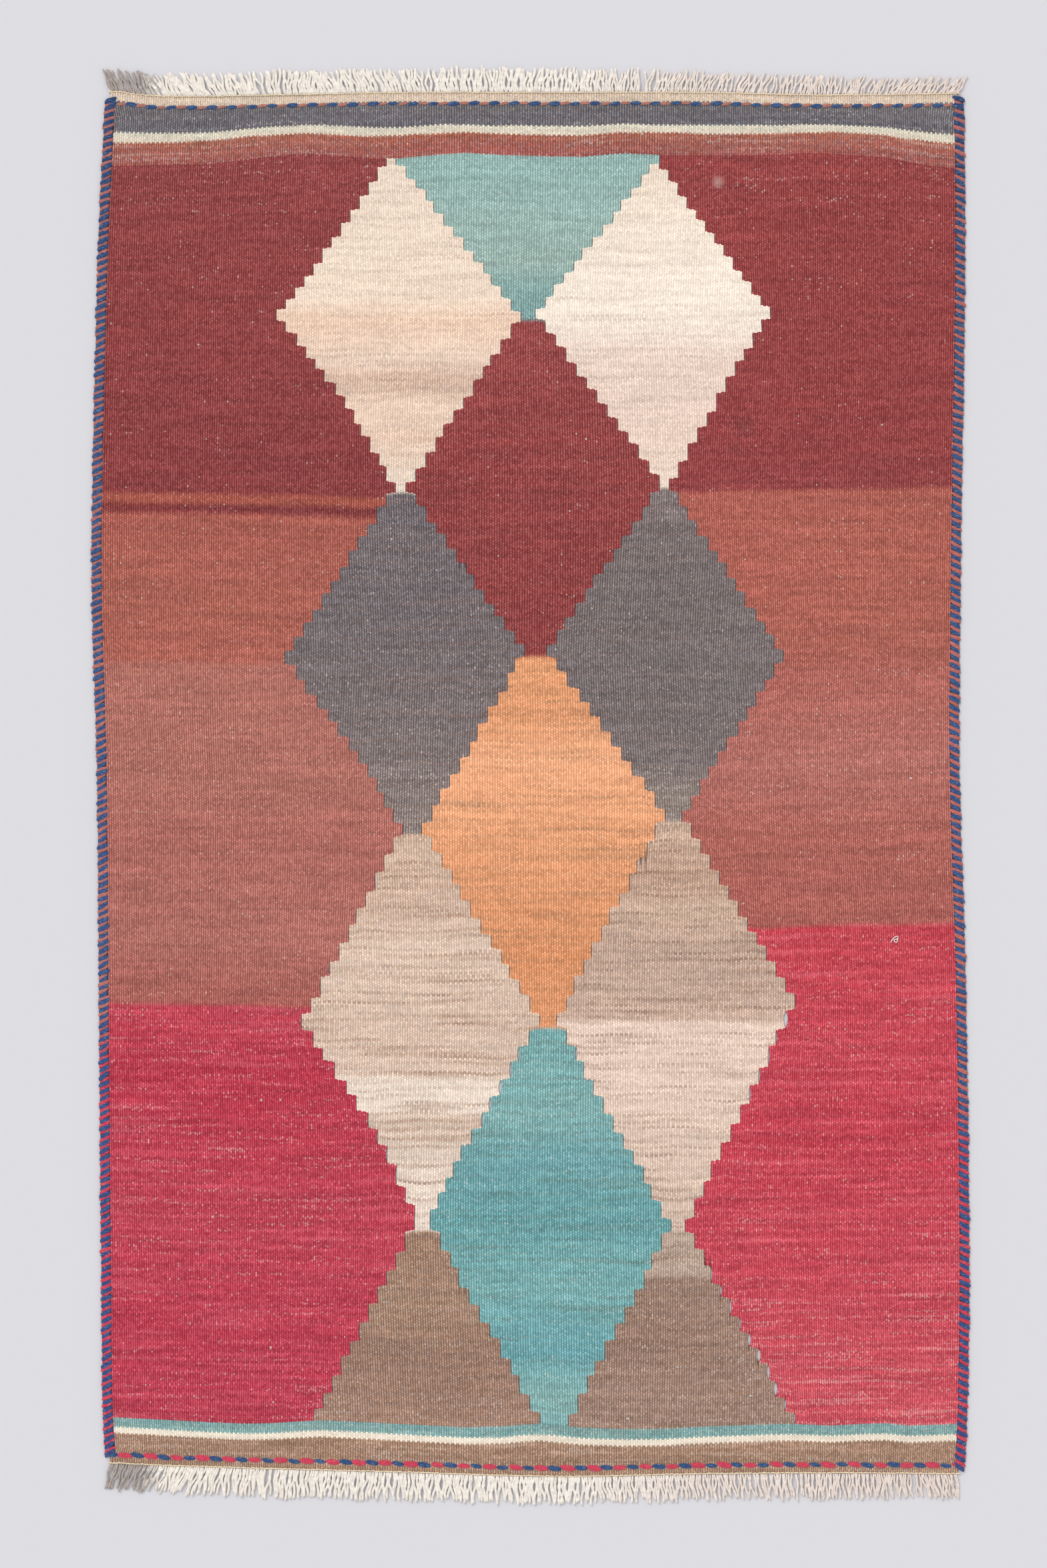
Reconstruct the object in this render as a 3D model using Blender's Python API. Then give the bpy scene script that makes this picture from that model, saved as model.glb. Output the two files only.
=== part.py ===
"""A small flat-woven kilim rug lying flat: cloth, two overcast side cords, two fringed ends.

Metres, +Z up. The rug lies on z = 0, its length along Y, and the origin is under its middle.
The cloth is one slab with the real rug's uneven sides and ends. Each side cord is a flat
cord beside the cloth, and each fringe is one comb beyond an end of the cloth.
"""

import math
import random

import bpy

CLOTH_THICK = 0.0026
CORD_WIDE = 0.011  # the overcast cord along each side
CORD_THICK = 0.0044
CORD_ROUND = 0.0014  # rounding of the cord's long edges
CORD_END_ROUND = 0.004  # the cord's ends are rounded off at the rug's corners
GAP = 0.0003  # between one piece and the next

SPINE_DEEP = 0.0036  # the chained edge that the fringe grows from
FRINGE_THICK = 0.0024
STRAND_PITCH = 0.0052
STRAND_WIDE = 0.0035
STRAND_TIP_WIDE = 0.0022
STRAND_UNEVEN = 0.0022  # how far one strand's length strays from its neighbours'
STRAND_LEAN = 0.0045  # how far the tips lean to one side or the other

SIDE_STEP = 0.045  # spacing of the outline's points along a side
END_STEP = 0.02  # and along an end

# The rug's sides bow in and out by a few millimetres: y, left edge x, right edge x.
SIDE_ROWS = (
    (-0.795, -0.4880, 0.4990),
    (-0.745, -0.4925, 0.5030),
    (-0.560, -0.4950, 0.5060),
    (-0.210, -0.4980, 0.5015),
    (0.020, -0.5000, 0.4945),
    (0.250, -0.5060, 0.4960),
    (0.590, -0.4995, 0.5010),
    (0.745, -0.4930, 0.5005),
    (0.800, -0.4890, 0.4990),
)

# Its ends are not quite straight either: x, near end y, far end y, near and far fringe length.
END_ROWS = (
    (-0.490, -0.780, 0.801, 0.0300, 0.0270),
    (-0.430, -0.783, 0.794, 0.0300, 0.0250),
    (-0.300, -0.787, 0.795, 0.0290, 0.0250),
    (-0.150, -0.791, 0.798, 0.0300, 0.0260),
    (0.030, -0.796, 0.798, 0.0270, 0.0240),
    (0.200, -0.793, 0.798, 0.0290, 0.0240),
    (0.340, -0.792, 0.795, 0.0300, 0.0200),
    (0.490, -0.793, 0.797, 0.0260, 0.0210),
)
LEFT, RIGHT = 1, 2  # columns of SIDE_ROWS
NEAR, FAR = 1, 2  # columns of END_ROWS; a fringe length is two columns further on


def smooth(rows, column, at):
    """The column's value at a place between the rows, on a curve with no kinks."""
    at = min(max(at, rows[0][0]), rows[-1][0])
    i = next(k for k in range(len(rows) - 1) if at <= rows[k + 1][0])
    before, start, end, after = (rows[min(max(k, 0), len(rows) - 1)] for k in range(i - 1, i + 3))

    def slope(a, b):
        return (b[column] - a[column]) / (b[0] - a[0]) if b[0] > a[0] else 0.0

    run = end[0] - start[0]
    t = (at - start[0]) / run
    rise_in, rise_out = slope(before, end) * run, slope(start, after) * run
    return (
        (2 * t**3 - 3 * t**2 + 1) * start[column]
        + (t**3 - 2 * t**2 + t) * rise_in
        + (3 * t**2 - 2 * t**3) * end[column]
        + (t**3 - t**2) * rise_out
    )


def side_x(side, y):
    return smooth(SIDE_ROWS, side, y)


def end_y(end, x):
    return smooth(END_ROWS, end, x)


def spread(start, end, step):
    """Evenly spaced values from start to end, about a step apart."""
    count = max(1, round(abs(end - start) / step))
    return [start + (end - start) * k / count for k in range(count + 1)]


def clear_scene():
    for obj in list(bpy.data.objects):
        bpy.data.objects.remove(obj, do_unlink=True)


def yarn(name, colour, roughness):
    material = bpy.data.materials.new(name)
    material.use_nodes = True
    shader = material.node_tree.nodes["Principled BSDF"]
    shader.inputs["Base Color"].default_value = (*colour, 1.0)
    shader.inputs["Roughness"].default_value = roughness
    shader.inputs["Metallic"].default_value = 0.0
    return material


def slab(name, outline, thick, material, rounding=0.0):
    """A flat outline filled and given its thickness, standing on z = 0."""
    curve = bpy.data.curves.new(name, "CURVE")
    curve.dimensions = "2D"
    curve.fill_mode = "BOTH"
    curve.extrude = thick / 2 - rounding
    curve.bevel_depth = rounding
    curve.bevel_resolution = 1
    curve.offset = -rounding
    spline = curve.splines.new("POLY")
    spline.points.add(len(outline) - 1)
    for point, (x, y) in zip(spline.points, outline):
        point.co = (x, y, 0.0, 1.0)
    spline.use_cyclic_u = True
    curve.materials.append(material)
    obj = bpy.data.objects.new(name, curve)
    obj.location.z = thick / 2
    return obj


def woven_cloth(material):
    """The cloth between the side cords, from end to end."""
    inset = CORD_WIDE + GAP
    corner = {}
    for side, inward in ((LEFT, 1), (RIGHT, -1)):
        for end in (NEAR, FAR):
            x = side_x(side, end_y(end, inward * -0.48)) + inward * inset
            corner[side, end] = (x, end_y(end, x))
    outline = []
    for x in spread(corner[LEFT, NEAR][0], corner[RIGHT, NEAR][0], END_STEP):
        outline.append((x, end_y(NEAR, x)))
    for y in spread(corner[RIGHT, NEAR][1], corner[RIGHT, FAR][1], SIDE_STEP)[1:-1]:
        outline.append((side_x(RIGHT, y) - inset, y))
    for x in spread(corner[RIGHT, FAR][0], corner[LEFT, FAR][0], END_STEP):
        outline.append((x, end_y(FAR, x)))
    for y in spread(corner[LEFT, FAR][1], corner[LEFT, NEAR][1], SIDE_STEP)[1:-1]:
        outline.append((side_x(LEFT, y) + inset, y))
    return slab("woven_cloth", outline, CLOTH_THICK, material)


def side_cord(name, side, material):
    """The flat cord along one side, rounded off at the rug's two corners."""
    inward = 1 if side == LEFT else -1

    def across(y, inset):
        return side_x(side, y) + inward * inset

    def end_of(end, inset):
        return end_y(end, across(SIDE_ROWS[-1 if end == FAR else 0][0], inset))

    def turn(end):
        """The rounded outer corner, from the side to the end."""
        outward = 1 if end == FAR else -1
        for angle in (0, 30, 60, 90):
            inset = CORD_END_ROUND * (1 - math.cos(math.radians(angle)))
            back = CORD_END_ROUND * (1 - math.sin(math.radians(angle)))
            y = end_of(end, inset) - outward * back
            yield across(y, inset), y

    far, near = list(turn(FAR)), list(turn(NEAR))
    outer = [(across(y, 0), y) for y in spread(near[0][1], far[0][1], SIDE_STEP)[1:-1]]
    inner = spread(end_of(FAR, CORD_WIDE), end_of(NEAR, CORD_WIDE), SIDE_STEP)
    outline = near[::-1] + outer + far + [(across(y, CORD_WIDE), y) for y in inner]
    if inward > 0:
        outline.reverse()
    return slab(name, outline, CORD_THICK, material, CORD_ROUND)


def fringe(name, end, seed, material):
    """One comb: the chained edge as its spine, and the warp ends as its teeth."""
    outward = 1 if end == FAR else -1
    draw = random.Random(seed)
    low = side_x(LEFT, end_y(end, -0.48)) + CORD_END_ROUND
    high = side_x(RIGHT, end_y(end, 0.48)) - CORD_END_ROUND
    count = int((high - low) / STRAND_PITCH)
    pitch = (high - low) / count
    outline = [(x, end_y(end, x) + outward * GAP) for x in spread(high, low, END_STEP)]
    for k in range(count):
        root = low + (k + 0.5) * pitch
        edge = end_y(end, root) + outward * (GAP + SPINE_DEEP)
        long = smooth(END_ROWS, end + 2, root) + draw.uniform(-1, 1) * STRAND_UNEVEN
        tip = edge + outward * (long - SPINE_DEEP)
        lean = STRAND_LEAN * math.sin(root * 23 + seed) * math.cos(root * 9)
        outline += [
            (root - STRAND_WIDE / 2, edge),
            (root + lean - STRAND_TIP_WIDE / 2, tip),
            (root + lean + STRAND_TIP_WIDE / 2, tip),
            (root + STRAND_WIDE / 2, edge),
        ]
    if end == NEAR:
        outline.reverse()
    return slab(name, outline, FRINGE_THICK, material)


def centre_over_origin(pieces):
    """Shifts every piece alike, so that the rug's box is centred on the origin."""
    points = [p.co for piece in pieces for spline in piece.data.splines for p in spline.points]
    shift = [(min(p[k] for p in points) + max(p[k] for p in points)) / 2 for k in (0, 1)]
    for piece in pieces:
        for spline in piece.data.splines:
            for point in spline.points:
                point.co.x -= shift[0]
                point.co.y -= shift[1]


def main():
    clear_scene()
    cloth = yarn("Wool Weft Faced Cloth", (0.30, 0.07, 0.07), 0.95)
    cord = yarn("Wool Overcast Cord", (0.05, 0.09, 0.20), 0.9)
    warp = yarn("Cotton Warp Ends", (0.80, 0.74, 0.66), 0.9)
    pieces = [
        woven_cloth(cloth),
        side_cord("selvedge_left", LEFT, cord),
        side_cord("selvedge_right", RIGHT, cord),
        fringe("fringe_bottom", NEAR, 3, warp),
        fringe("fringe_top", FAR, 8, warp),
    ]
    centre_over_origin(pieces)
    rug = bpy.data.collections.new("Kilim Rug")
    bpy.context.scene.collection.children.link(rug)
    for piece in pieces:
        rug.objects.link(piece)


main()
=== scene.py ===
# Kilim rug, seen from straight above: slit-woven wool cloth, overcast sides, twined rows and cut fringe.
# Everything is in metres unless a dictionary says mm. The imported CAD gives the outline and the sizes.

import bisect
import math
import random
import bpy
import numpy as np
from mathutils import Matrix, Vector


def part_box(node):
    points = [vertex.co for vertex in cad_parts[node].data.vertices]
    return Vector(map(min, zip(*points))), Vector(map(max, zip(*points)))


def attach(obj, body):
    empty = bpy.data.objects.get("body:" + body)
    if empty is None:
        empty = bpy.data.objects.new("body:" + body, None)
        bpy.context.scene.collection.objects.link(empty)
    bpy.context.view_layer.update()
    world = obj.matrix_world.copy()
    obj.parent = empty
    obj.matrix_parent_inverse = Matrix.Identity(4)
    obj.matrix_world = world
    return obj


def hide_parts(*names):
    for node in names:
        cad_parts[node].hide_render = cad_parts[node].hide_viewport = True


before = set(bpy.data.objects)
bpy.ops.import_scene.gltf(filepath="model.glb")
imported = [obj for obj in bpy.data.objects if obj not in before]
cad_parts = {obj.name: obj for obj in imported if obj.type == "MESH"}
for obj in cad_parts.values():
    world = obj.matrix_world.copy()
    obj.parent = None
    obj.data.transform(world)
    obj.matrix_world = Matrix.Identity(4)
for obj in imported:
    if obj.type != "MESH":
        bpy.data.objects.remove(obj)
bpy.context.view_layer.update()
mm = 0.001


def linear(hexColour):
    # sRGB hex to the linear values that Blender's sockets take
    values = [int(hexColour[k:k + 2], 16) / 255 for k in (1, 3, 5)]
    return [c / 12.92 if c <= 0.04045 else ((c + 0.055) / 1.055) ** 2.4 for c in values] + [1.0]


def addNode(tree, kind, inputs=(), **settings):
    # a node given as an input stands for its first output
    node = tree.nodes.new(kind)
    for name, value in settings.items():
        setattr(node, name, value)
    for key, value in dict(inputs).items():
        if isinstance(value, bpy.types.Node):
            value = value.outputs[0]
        if isinstance(value, bpy.types.NodeSocket):
            tree.links.new(value, node.inputs[key])
        else:
            node.inputs[key].default_value = value
    return node


def newMaterial(name):
    material = bpy.data.materials.new(name)
    material.use_nodes = True
    return material, material.node_tree, material.node_tree.nodes["Principled BSDF"]


def newObject(name, data):
    obj = bpy.data.objects.new(name, data)
    bpy.context.scene.collection.objects.link(obj)
    return obj


def joined(name, objects):
    with bpy.context.temp_override(active_object=objects[0], selected_editable_objects=objects):
        bpy.ops.object.join()
    objects[0].name = name
    return objects[0]


# The outline is read off the CAD cloth.
nearChord = 17 * mm  # an edge of the cloth strays less than this from the line between its corners


def outlineReader():
    # each edge is the points that lie near the straight line between its two corners
    points = np.array([v.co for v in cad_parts["woven_cloth"].data.vertices])[:, :2]
    corners = {(sx, sy): points[np.argmax(points @ (sx, sy))] for sx in (-1, 1) for sy in (-1, 1)}
    reader = {}
    for name, ends, along in (
        ("left", ((-1, -1), (-1, 1)), 1), ("right", ((1, -1), (1, 1)), 1),
        ("bottom", ((-1, -1), (1, -1)), 0), ("top", ((-1, 1), (1, 1)), 0),
    ):
        start, end = (corners[key] for key in ends)
        share = (points[:, along] - start[along]) / (end[along] - start[along])
        chord = start[1 - along] + (end[1 - along] - start[1 - along]) * share
        near = (np.abs(points[:, 1 - along] - chord) < nearChord) & (share > -1e-6) & (share < 1 + 1e-6)
        rows = points[near]
        rows = rows[np.argsort(rows[:, along])]
        reader[name] = (rows[:, along], rows[:, 1 - along])
    return reader


outline = outlineReader()
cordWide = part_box("woven_cloth")[0].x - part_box("selvedge_left")[0].x
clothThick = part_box("woven_cloth")[1].z


def edgeAt(name, along):
    return np.interp(along, *outline[name])


# The chart says where the colours meet, as a weaver would count it.
# Each line zigzags down the rug in steps. A row is one turn of it:
# height in mm, the warp it stands on, its place across in mm, and the steps down to the next turn.
chart = {
    "warps": 364,
    "top": 725.0,  # the patterned field lies between these heights, mm
    "bottom": -737.5,
    "unevenSteps": 0.13,
    "lines": (
        ((721, 124, -166, 8), (592, 92, -250, 4), (541, 76, -293, 7), (441, 106, -214, 6),
         (342, 128, -156, 12), (146, 80, -283, 6), (47, 108, -209, 6), (-51, 131, -147, 11),
         (-274, 88, -264, 6), (-386, 116, -187, 5), (-492, 136, -134, 0),
         (-506, 136, -134, 11), (-733, 92, -250, 0)),
        ((721, 128, -155, 13), (538.5, 178, -11, 12), (342, 132, -144, 12), (155, 179, -6.5, 11),
         (-52, 138, -125, 12), (-271, 184, 10.5, 8), (-425, 154, -80, 4), (-497, 142, -116, 0),
         (-506, 142, -116, 11), (-733, 184, 11, 0)),
        ((721, 232, 149, 13), (543, 184, 5, 12), (352, 232, 149, 0), (343, 232, 149, 12),
         (154, 188, 19, 11), (-35, 234, 155, 12), (-271, 191, 29.5, 12), (-508, 237, 162, 11),
         (-733, 195, 43.5, 0)),
        ((713, 232, 149, 12), (544, 280, 276, 4), (480, 264, 236, 7), (344, 236, 160, 12),
         (148, 286, 291, 11), (-37, 241, 174, 12), (-249, 289, 305, 12), (-509, 243, 178, 12),
         (-733, 289, 304, 0)),
    ),
    "tilt": 2.4,  # each step of weft dips this far, mm, the way its line is going
    "tiltReach": 7,  # warps
    "tiltTurn": 11,  # mm over which the dip dies out at a line's turn
    "tiltStart": 4,  # mm above a line's first turn where its dip begins
}

# The ends of the weave wave up and down: place across, upper bands' wave, lower bands' wave, all mm.
wave = {
    "rows": (
        (-490, -10, 7.5), (-440, -9, 5.5), (-370, -8, 2), (-330, -4, 0.5), (-300, -1, 1), (-262, 1, 3.5),
        (-240, 0.5, 4.5), (-180, -3, 2), (-150, -3, 0.5), (-105, 0.5, -1.5), (-75, 2, -2.8), (-30, 0, -1.5),
        (10, -1, 1.8), (60, -1.5, -3), (105, 1.5, -4.6), (150, 0, -4.6), (205, 0, -1.8), (290, 0.5, 0.8),
        (310, 2, 0.6), (345, 1.5, -1), (385, -0.5, 1), (410, -2, 1.6), (435, -6, -1), (465, -10, 0),
        (490, -12, 1),
    ),
    # how much of a wave shows at a height in metres
    "topReach": (
        (0.560, 0), (0.620, 0.1), (0.680, 0.6), (0.727, 1.3), (0.757, 1), (0.783, 0.1), (0.787, 0),
    ),
    "topEdge": ((0.745, 0), (0.783, 0.9), (0.797, 1)),
    "bottomReach": ((-0.783, 0), (-0.778, 0.2), (-0.757, 1), (-0.737, 1), (-0.700, 0.5), (-0.640, 0)),
    "bottomEdge": ((-0.792, 1), (-0.782, 1), (-0.757, 0.25), (-0.720, 0)),
}
topEdge = 0.797  # the weave's ends before they wave
bottomEdge = -0.792


def column(rows, k):
    return np.array([row[k] for row in rows], float)


def bent(across, height):
    # how far the cloth's rows are shifted along the rug
    rows = wave["rows"]
    upper = np.interp(across, column(rows, 0) * mm, column(rows, 1) * mm)
    lower = np.interp(across, column(rows, 0) * mm, column(rows, 2) * mm)
    reach = {
        key: np.interp(height, column(rise, 0), column(rise, 1))
        for key, rise in wave.items() if key != "rows"
    }
    return (
        upper * reach["topReach"] + lower * reach["bottomReach"]
        + (edgeAt("top", across) - topEdge) * reach["topEdge"]
        + (edgeAt("bottom", across) - bottomEdge) * reach["bottomEdge"]
    )


def dipped(warp, height):
    # beside each line the weft slopes the way the line steps, as packed wefts do beside a slit
    fall = np.zeros_like(height)
    for line in chart["lines"]:
        rows = line[::-1]  # from the bottom up, as interp wants them
        knots, signs = [], []
        for (high, fromWarp, _, _), (low, toWarp, _, _) in zip(line, line[1:]):
            if fromWarp == toWarp:
                continue
            way = 1 if toWarp > fromWarp else -1
            knots += [high - chart["tiltTurn"], low + chart["tiltTurn"]]
            signs += [way, way]
        knots, signs = [line[0][0] + chart["tiltStart"]] + knots + [line[-1][0]], [0] + signs + [0]
        way = np.interp(-height, -np.array(knots) * mm, signs)
        away = (warp - np.interp(height, column(rows, 0) * mm, column(rows, 1))) / chart["tiltReach"]
        fall -= way * chart["tilt"] * mm * away * np.exp(0.5 - away ** 2 / 2)
    return fall


def stepsOf(line, draw):
    # (height, warp before, warp after) for each step of a line, from the top down
    steps = []
    for (high, fromWarp, _, count), (low, toWarp, _, _) in zip(line, line[1:]):
        tall = (high - low) / max(count, 1)
        warps = [round(fromWarp + (toWarp - fromWarp) * k / max(count, 1)) for k in range(count + 1)]
        for k in range(count):
            uneven = draw.uniform(-1, 1) * chart["unevenSteps"] * (0 < k < count - 1)
            steps.append(((high - (k + 0.5 + uneven) * tall) * mm, warps[k], warps[k + 1]))
    return steps


drawSteps = random.Random(5)
lineSteps = [stepsOf(line, drawSteps) for line in chart["lines"]]


def warpOf(k, height):
    # the warp that line k stands on at a height
    steps = lineSteps[k]
    below = bisect.bisect_left([-s[0] for s in steps], -height)
    return steps[0][1] if below == 0 else steps[below - 1][2]


def acrossAt(warp, height):
    # where a warp lies across the rug at a height, spread between the lines and the two edges
    warp, height = np.atleast_1d(np.asarray(warp, float)), np.atleast_1d(np.asarray(height, float))
    left, right = edgeAt("left", height), edgeAt("right", height)
    knots, places = [np.zeros_like(height)], [left]
    for line in chart["lines"]:
        rows = line[::-1]
        knots.append(np.interp(height, column(rows, 0) * mm, column(rows, 1)))
        places.append(np.interp(height, column(rows, 0) * mm, column(rows, 2) * mm))
    knots.append(np.full_like(height, chart["warps"]))
    places.append(right)
    across = np.zeros_like(height)
    for k in range(len(knots) - 1):
        run = np.maximum(knots[k + 1] - knots[k], 0.5)
        share = (warp - knots[k]) / run
        inside = (warp >= knots[k] - 1e-6) if k else np.ones_like(warp, bool)
        across = np.where(inside, places[k] + (places[k + 1] - places[k]) * share, across)

    # the ends flare out over the cords, and no warp is quite straight
    beyond = np.clip((np.abs(height) - cloth["endStrip"]) / cloth["flareRamp"], 0, 1)
    across -= beyond * cloth["flareLeft"] * np.exp(-warp / cloth["flareReach"])
    across += beyond * cloth["flareRight"] * np.exp(-(chart["warps"] - warp) / cloth["flareReach"])
    wander = cloth["warpWander"] * np.sin(height * 31 + warp * 0.05) * np.sin(warp * 0.021 + height * 9)
    fromSide = np.minimum(warp, chart["warps"] - warp)
    return across + wander * np.minimum(1, fromSide / cloth["wanderReach"])


cloth = {
    "segmentsPerWarp": 3,
    "rowSpacing": 26 * mm,
    "underEvery": 4,  # the underside has only some of the rows
    "ribDeep": 0.45 * mm,
    "lineScallop": 0.45 * mm,  # a colour's edge rises and falls from warp to warp
    "slitHalf": 0.38 * mm,
    "slitReach": 5,  # warps that a slit pushes aside
    "slitShares": (0.2, 0.5, 0.8),
    "slitSpread": (0.6, 1.5),
    "openSpread": (0.75, 1.15),
    "widest": 2.5,  # mm: a slit that gapes this far keeps its size
    "wideSlit": 0.62 * mm,  # past this half opening the cloth beside a slit bends with it
    "slitRidge": 0.3 * mm,  # the cloth stands up this far beside a slit
    "undulation": 0.35 * mm,
    "endStrip": 0.78,  # past the twined rows the cloth spreads out over the cords' ends
    "flareLeft": 6 * mm,
    "flareRight": 4 * mm,
    "flareReach": 12,  # warps
    "flareRamp": 5 * mm,
    "warpWander": 0.5 * mm,  # warps stray this far from straight, but not at the sides
    "wanderReach": 12,  # warps
    "rowsBelow": (-0.789, -0.785, -0.773, -0.757, -0.748),  # heights of rows in the end bands
    "rowsAbove": (0.737, 0.750, 0.760, 0.772, 0.785, 0.789),
    "openSlits": (  # line, from and to height in mm, half opening in mm: slits that gape
        (3, -262, -282, 2.6),
        (3, -282, -360, 1.0),
        (3, -560, -625, 1.3),
        (3, -625, -715, 2.4),
        (3, -715, -735, 1.2),
        (0, -370, -470, 1.0),
        (1, -298, -382, 1.9),
        (1, -382, -402, 1.2),
        (2, -292, -322, 1.5),
        (0, -210, -245, 0.8),
    ),
}
zoneNames = (
    "leftGround", "leftColumn", "centreColumn", "rightColumn", "rightGround", "upperBands", "lowerBands",
)
upperZone, lowerZone = 5, 6
levelGap = 1e-7  # metres: heights closer than this are the same


def clothLevels():
    # heights of the cloth's own rows, and of its underside's coarser ones
    field = [chart["bottom"] * mm, chart["top"] * mm]
    count = round((field[1] - field[0]) / cloth["rowSpacing"])
    inner = [field[0] + (field[1] - field[0]) * k / count for k in range(count + 1)]
    rows = [bottomEdge, *cloth["rowsBelow"], *inner, *cloth["rowsAbove"], topEdge]
    return rows, [bottomEdge, *inner[:-1:cloth["underEvery"]], inner[-1], topEdge]


def slitList(draw):
    # each upright stretch of a line is a slit: warp, low end, high end, half opening
    found = {}
    for k, steps in enumerate(lineSteps):
        ends = [chart["top"] * mm] + [s[0] for s in steps] + [chart["bottom"] * mm]
        warps = [steps[0][1]] + [s[2] for s in steps]
        for high, low, warp in zip(ends, ends[1:], warps):
            half = cloth["slitHalf"] * draw.uniform(*cloth["slitSpread"])
            for line, fromHigh, toLow, wide in cloth["openSlits"]:
                if line == k and toLow * mm < (high + low) / 2 < fromHigh * mm:
                    half = wide * mm * (draw.uniform(*cloth["openSpread"]) if wide < cloth["widest"] else 1)
            found.setdefault(warp, []).append([low, high, half])
    for warp, slits in found.items():
        slits.sort()
        merged = [slits[0]]
        for slit in slits[1:]:
            if slit[0] < merged[-1][1] - levelGap:
                merged[-1][1] = max(slit[1], merged[-1][1])
            else:
                merged.append(slit)
        found[warp] = merged
    return found


def clothMesh():
    per = cloth["segmentsPerWarp"]
    rows, underRows = clothLevels()
    slits = slitList(random.Random(11))
    crossings = {}  # warp strip -> heights where a step runs across it
    touching = {}  # lattice line -> heights where a step touches it
    for steps in lineSteps:
        for height, before, after in steps:
            for strip in range(min(before, after), max(before, after)):
                crossings.setdefault(strip, set()).add(height)
            for line in range(min(before, after) * per, max(before, after) * per + 1):
                touching.setdefault(line, set()).add(height)
    for warp, cuts in slits.items():
        for low, high, half in cuts:
            if half > cloth["wideSlit"]:
                reach = cloth["slitReach"] - 1
                bends = {low + (high - low) * share for share in cloth["slitShares"]}
                for strip in range(warp - reach, warp + reach):
                    crossings.setdefault(strip, set()).update(bends)
                for line in range((warp - reach) * per, (warp + reach) * per + 1):
                    touching.setdefault(line, set()).update(bends)

    def inSlit(line, height):
        if line % per:
            return False
        return any(low + levelGap < height < high - levelGap for low, high, _ in slits.get(line // per, ()))

    def levelsOn(line, under):
        own = set(touching.get(line, ()))
        for low, high, _ in slits.get(line // per, ()) if line % per == 0 else ():
            own |= {low + (high - low) * share for share in cloth["slitShares"]}
            own |= {height for height in rows if low < height < high}
        outer = line in (0, chart["warps"] * per)
        own |= set(rows if outer or not under else underRows)
        return sorted(own)

    verts, index = [], {}  # (warp, height, side, top)

    def vertex(line, height, side, top):
        side = side if inSlit(line, height) else 0
        key = (line, round(height / levelGap), side, top)
        if key not in index:
            index[key] = len(verts)
            verts.append((line / per, height, side, top))
        return index[key]

    faces, zones = [], []

    def zoneAt(warp, height):
        if height > chart["top"] * mm:
            return upperZone
        if height < chart["bottom"] * mm:
            return lowerZone
        return sum(warp > warpOf(k, height) for k in range(len(lineSteps)))

    def weave(strips, heights, under):
        levels = {line: levelsOn(line, under) for pair in strips for line in pair}
        for left, right in strips:
            strip = left // per
            cuts = sorted(set(heights) | crossings.get(strip, set()))
            for low, high in zip(cuts, cuts[1:]):
                if high - low < levelGap:
                    continue
                face = []
                for line, side in ((right, -1), (left, 1)):
                    own = levels[line]
                    first = bisect.bisect_left(own, low - levelGap)
                    last = bisect.bisect_right(own, high + levelGap)
                    up = [vertex(line, height, side, not under) for height in own[first:last]]
                    face += up if line == right else up[::-1]
                    if under and high == topEdge and line == right:
                        face += [vertex(n, topEdge, 0, False) for n in range(right - 1, left, -1)]
                if under and low == bottomEdge:
                    face += [vertex(n, bottomEdge, 0, False) for n in range(left + 1, right)]
                faces.append(face[::-1] if under else face)
                zones.append(zoneAt((left + right) / 2 / per, (low + high) / 2))

    total = chart["warps"] * per
    weave([(k, k + 1) for k in range(total)], rows, False)
    weave([(k * per, (k + 1) * per) for k in range(chart["warps"])], underRows, True)

    def wall(line, side, low, high):
        levels = [h for h in levelsOn(line, False) if low - levelGap <= h <= high + levelGap]
        for a, b in zip(levels, levels[1:]):
            ring = [vertex(line, a, side, True), vertex(line, b, side, True),
                    vertex(line, b, side, False), vertex(line, a, side, False)]
            faces.append(ring if side > 0 else ring[::-1])
            zones.append(zoneAt(line / per + side * 0.1, (a + b) / 2))

    for warp, cuts in slits.items():
        for low, high, _ in cuts:
            wall(warp * per, 1, low, high)
            wall(warp * per, -1, low, high)
    wall(0, 1, bottomEdge, topEdge)
    wall(total, -1, bottomEdge, topEdge)
    for height, turn in ((bottomEdge, 1), (topEdge, -1)):
        for k in range(total):
            ring = [vertex(k, height, 0, True), vertex(k, height, 0, False),
                    vertex(k + 1, height, 0, False), vertex(k + 1, height, 0, True)]
            faces.append(ring[::turn])
            zones.append(lowerZone if turn > 0 else upperZone)
    return np.array(verts, float), faces, zones, slits


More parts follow.
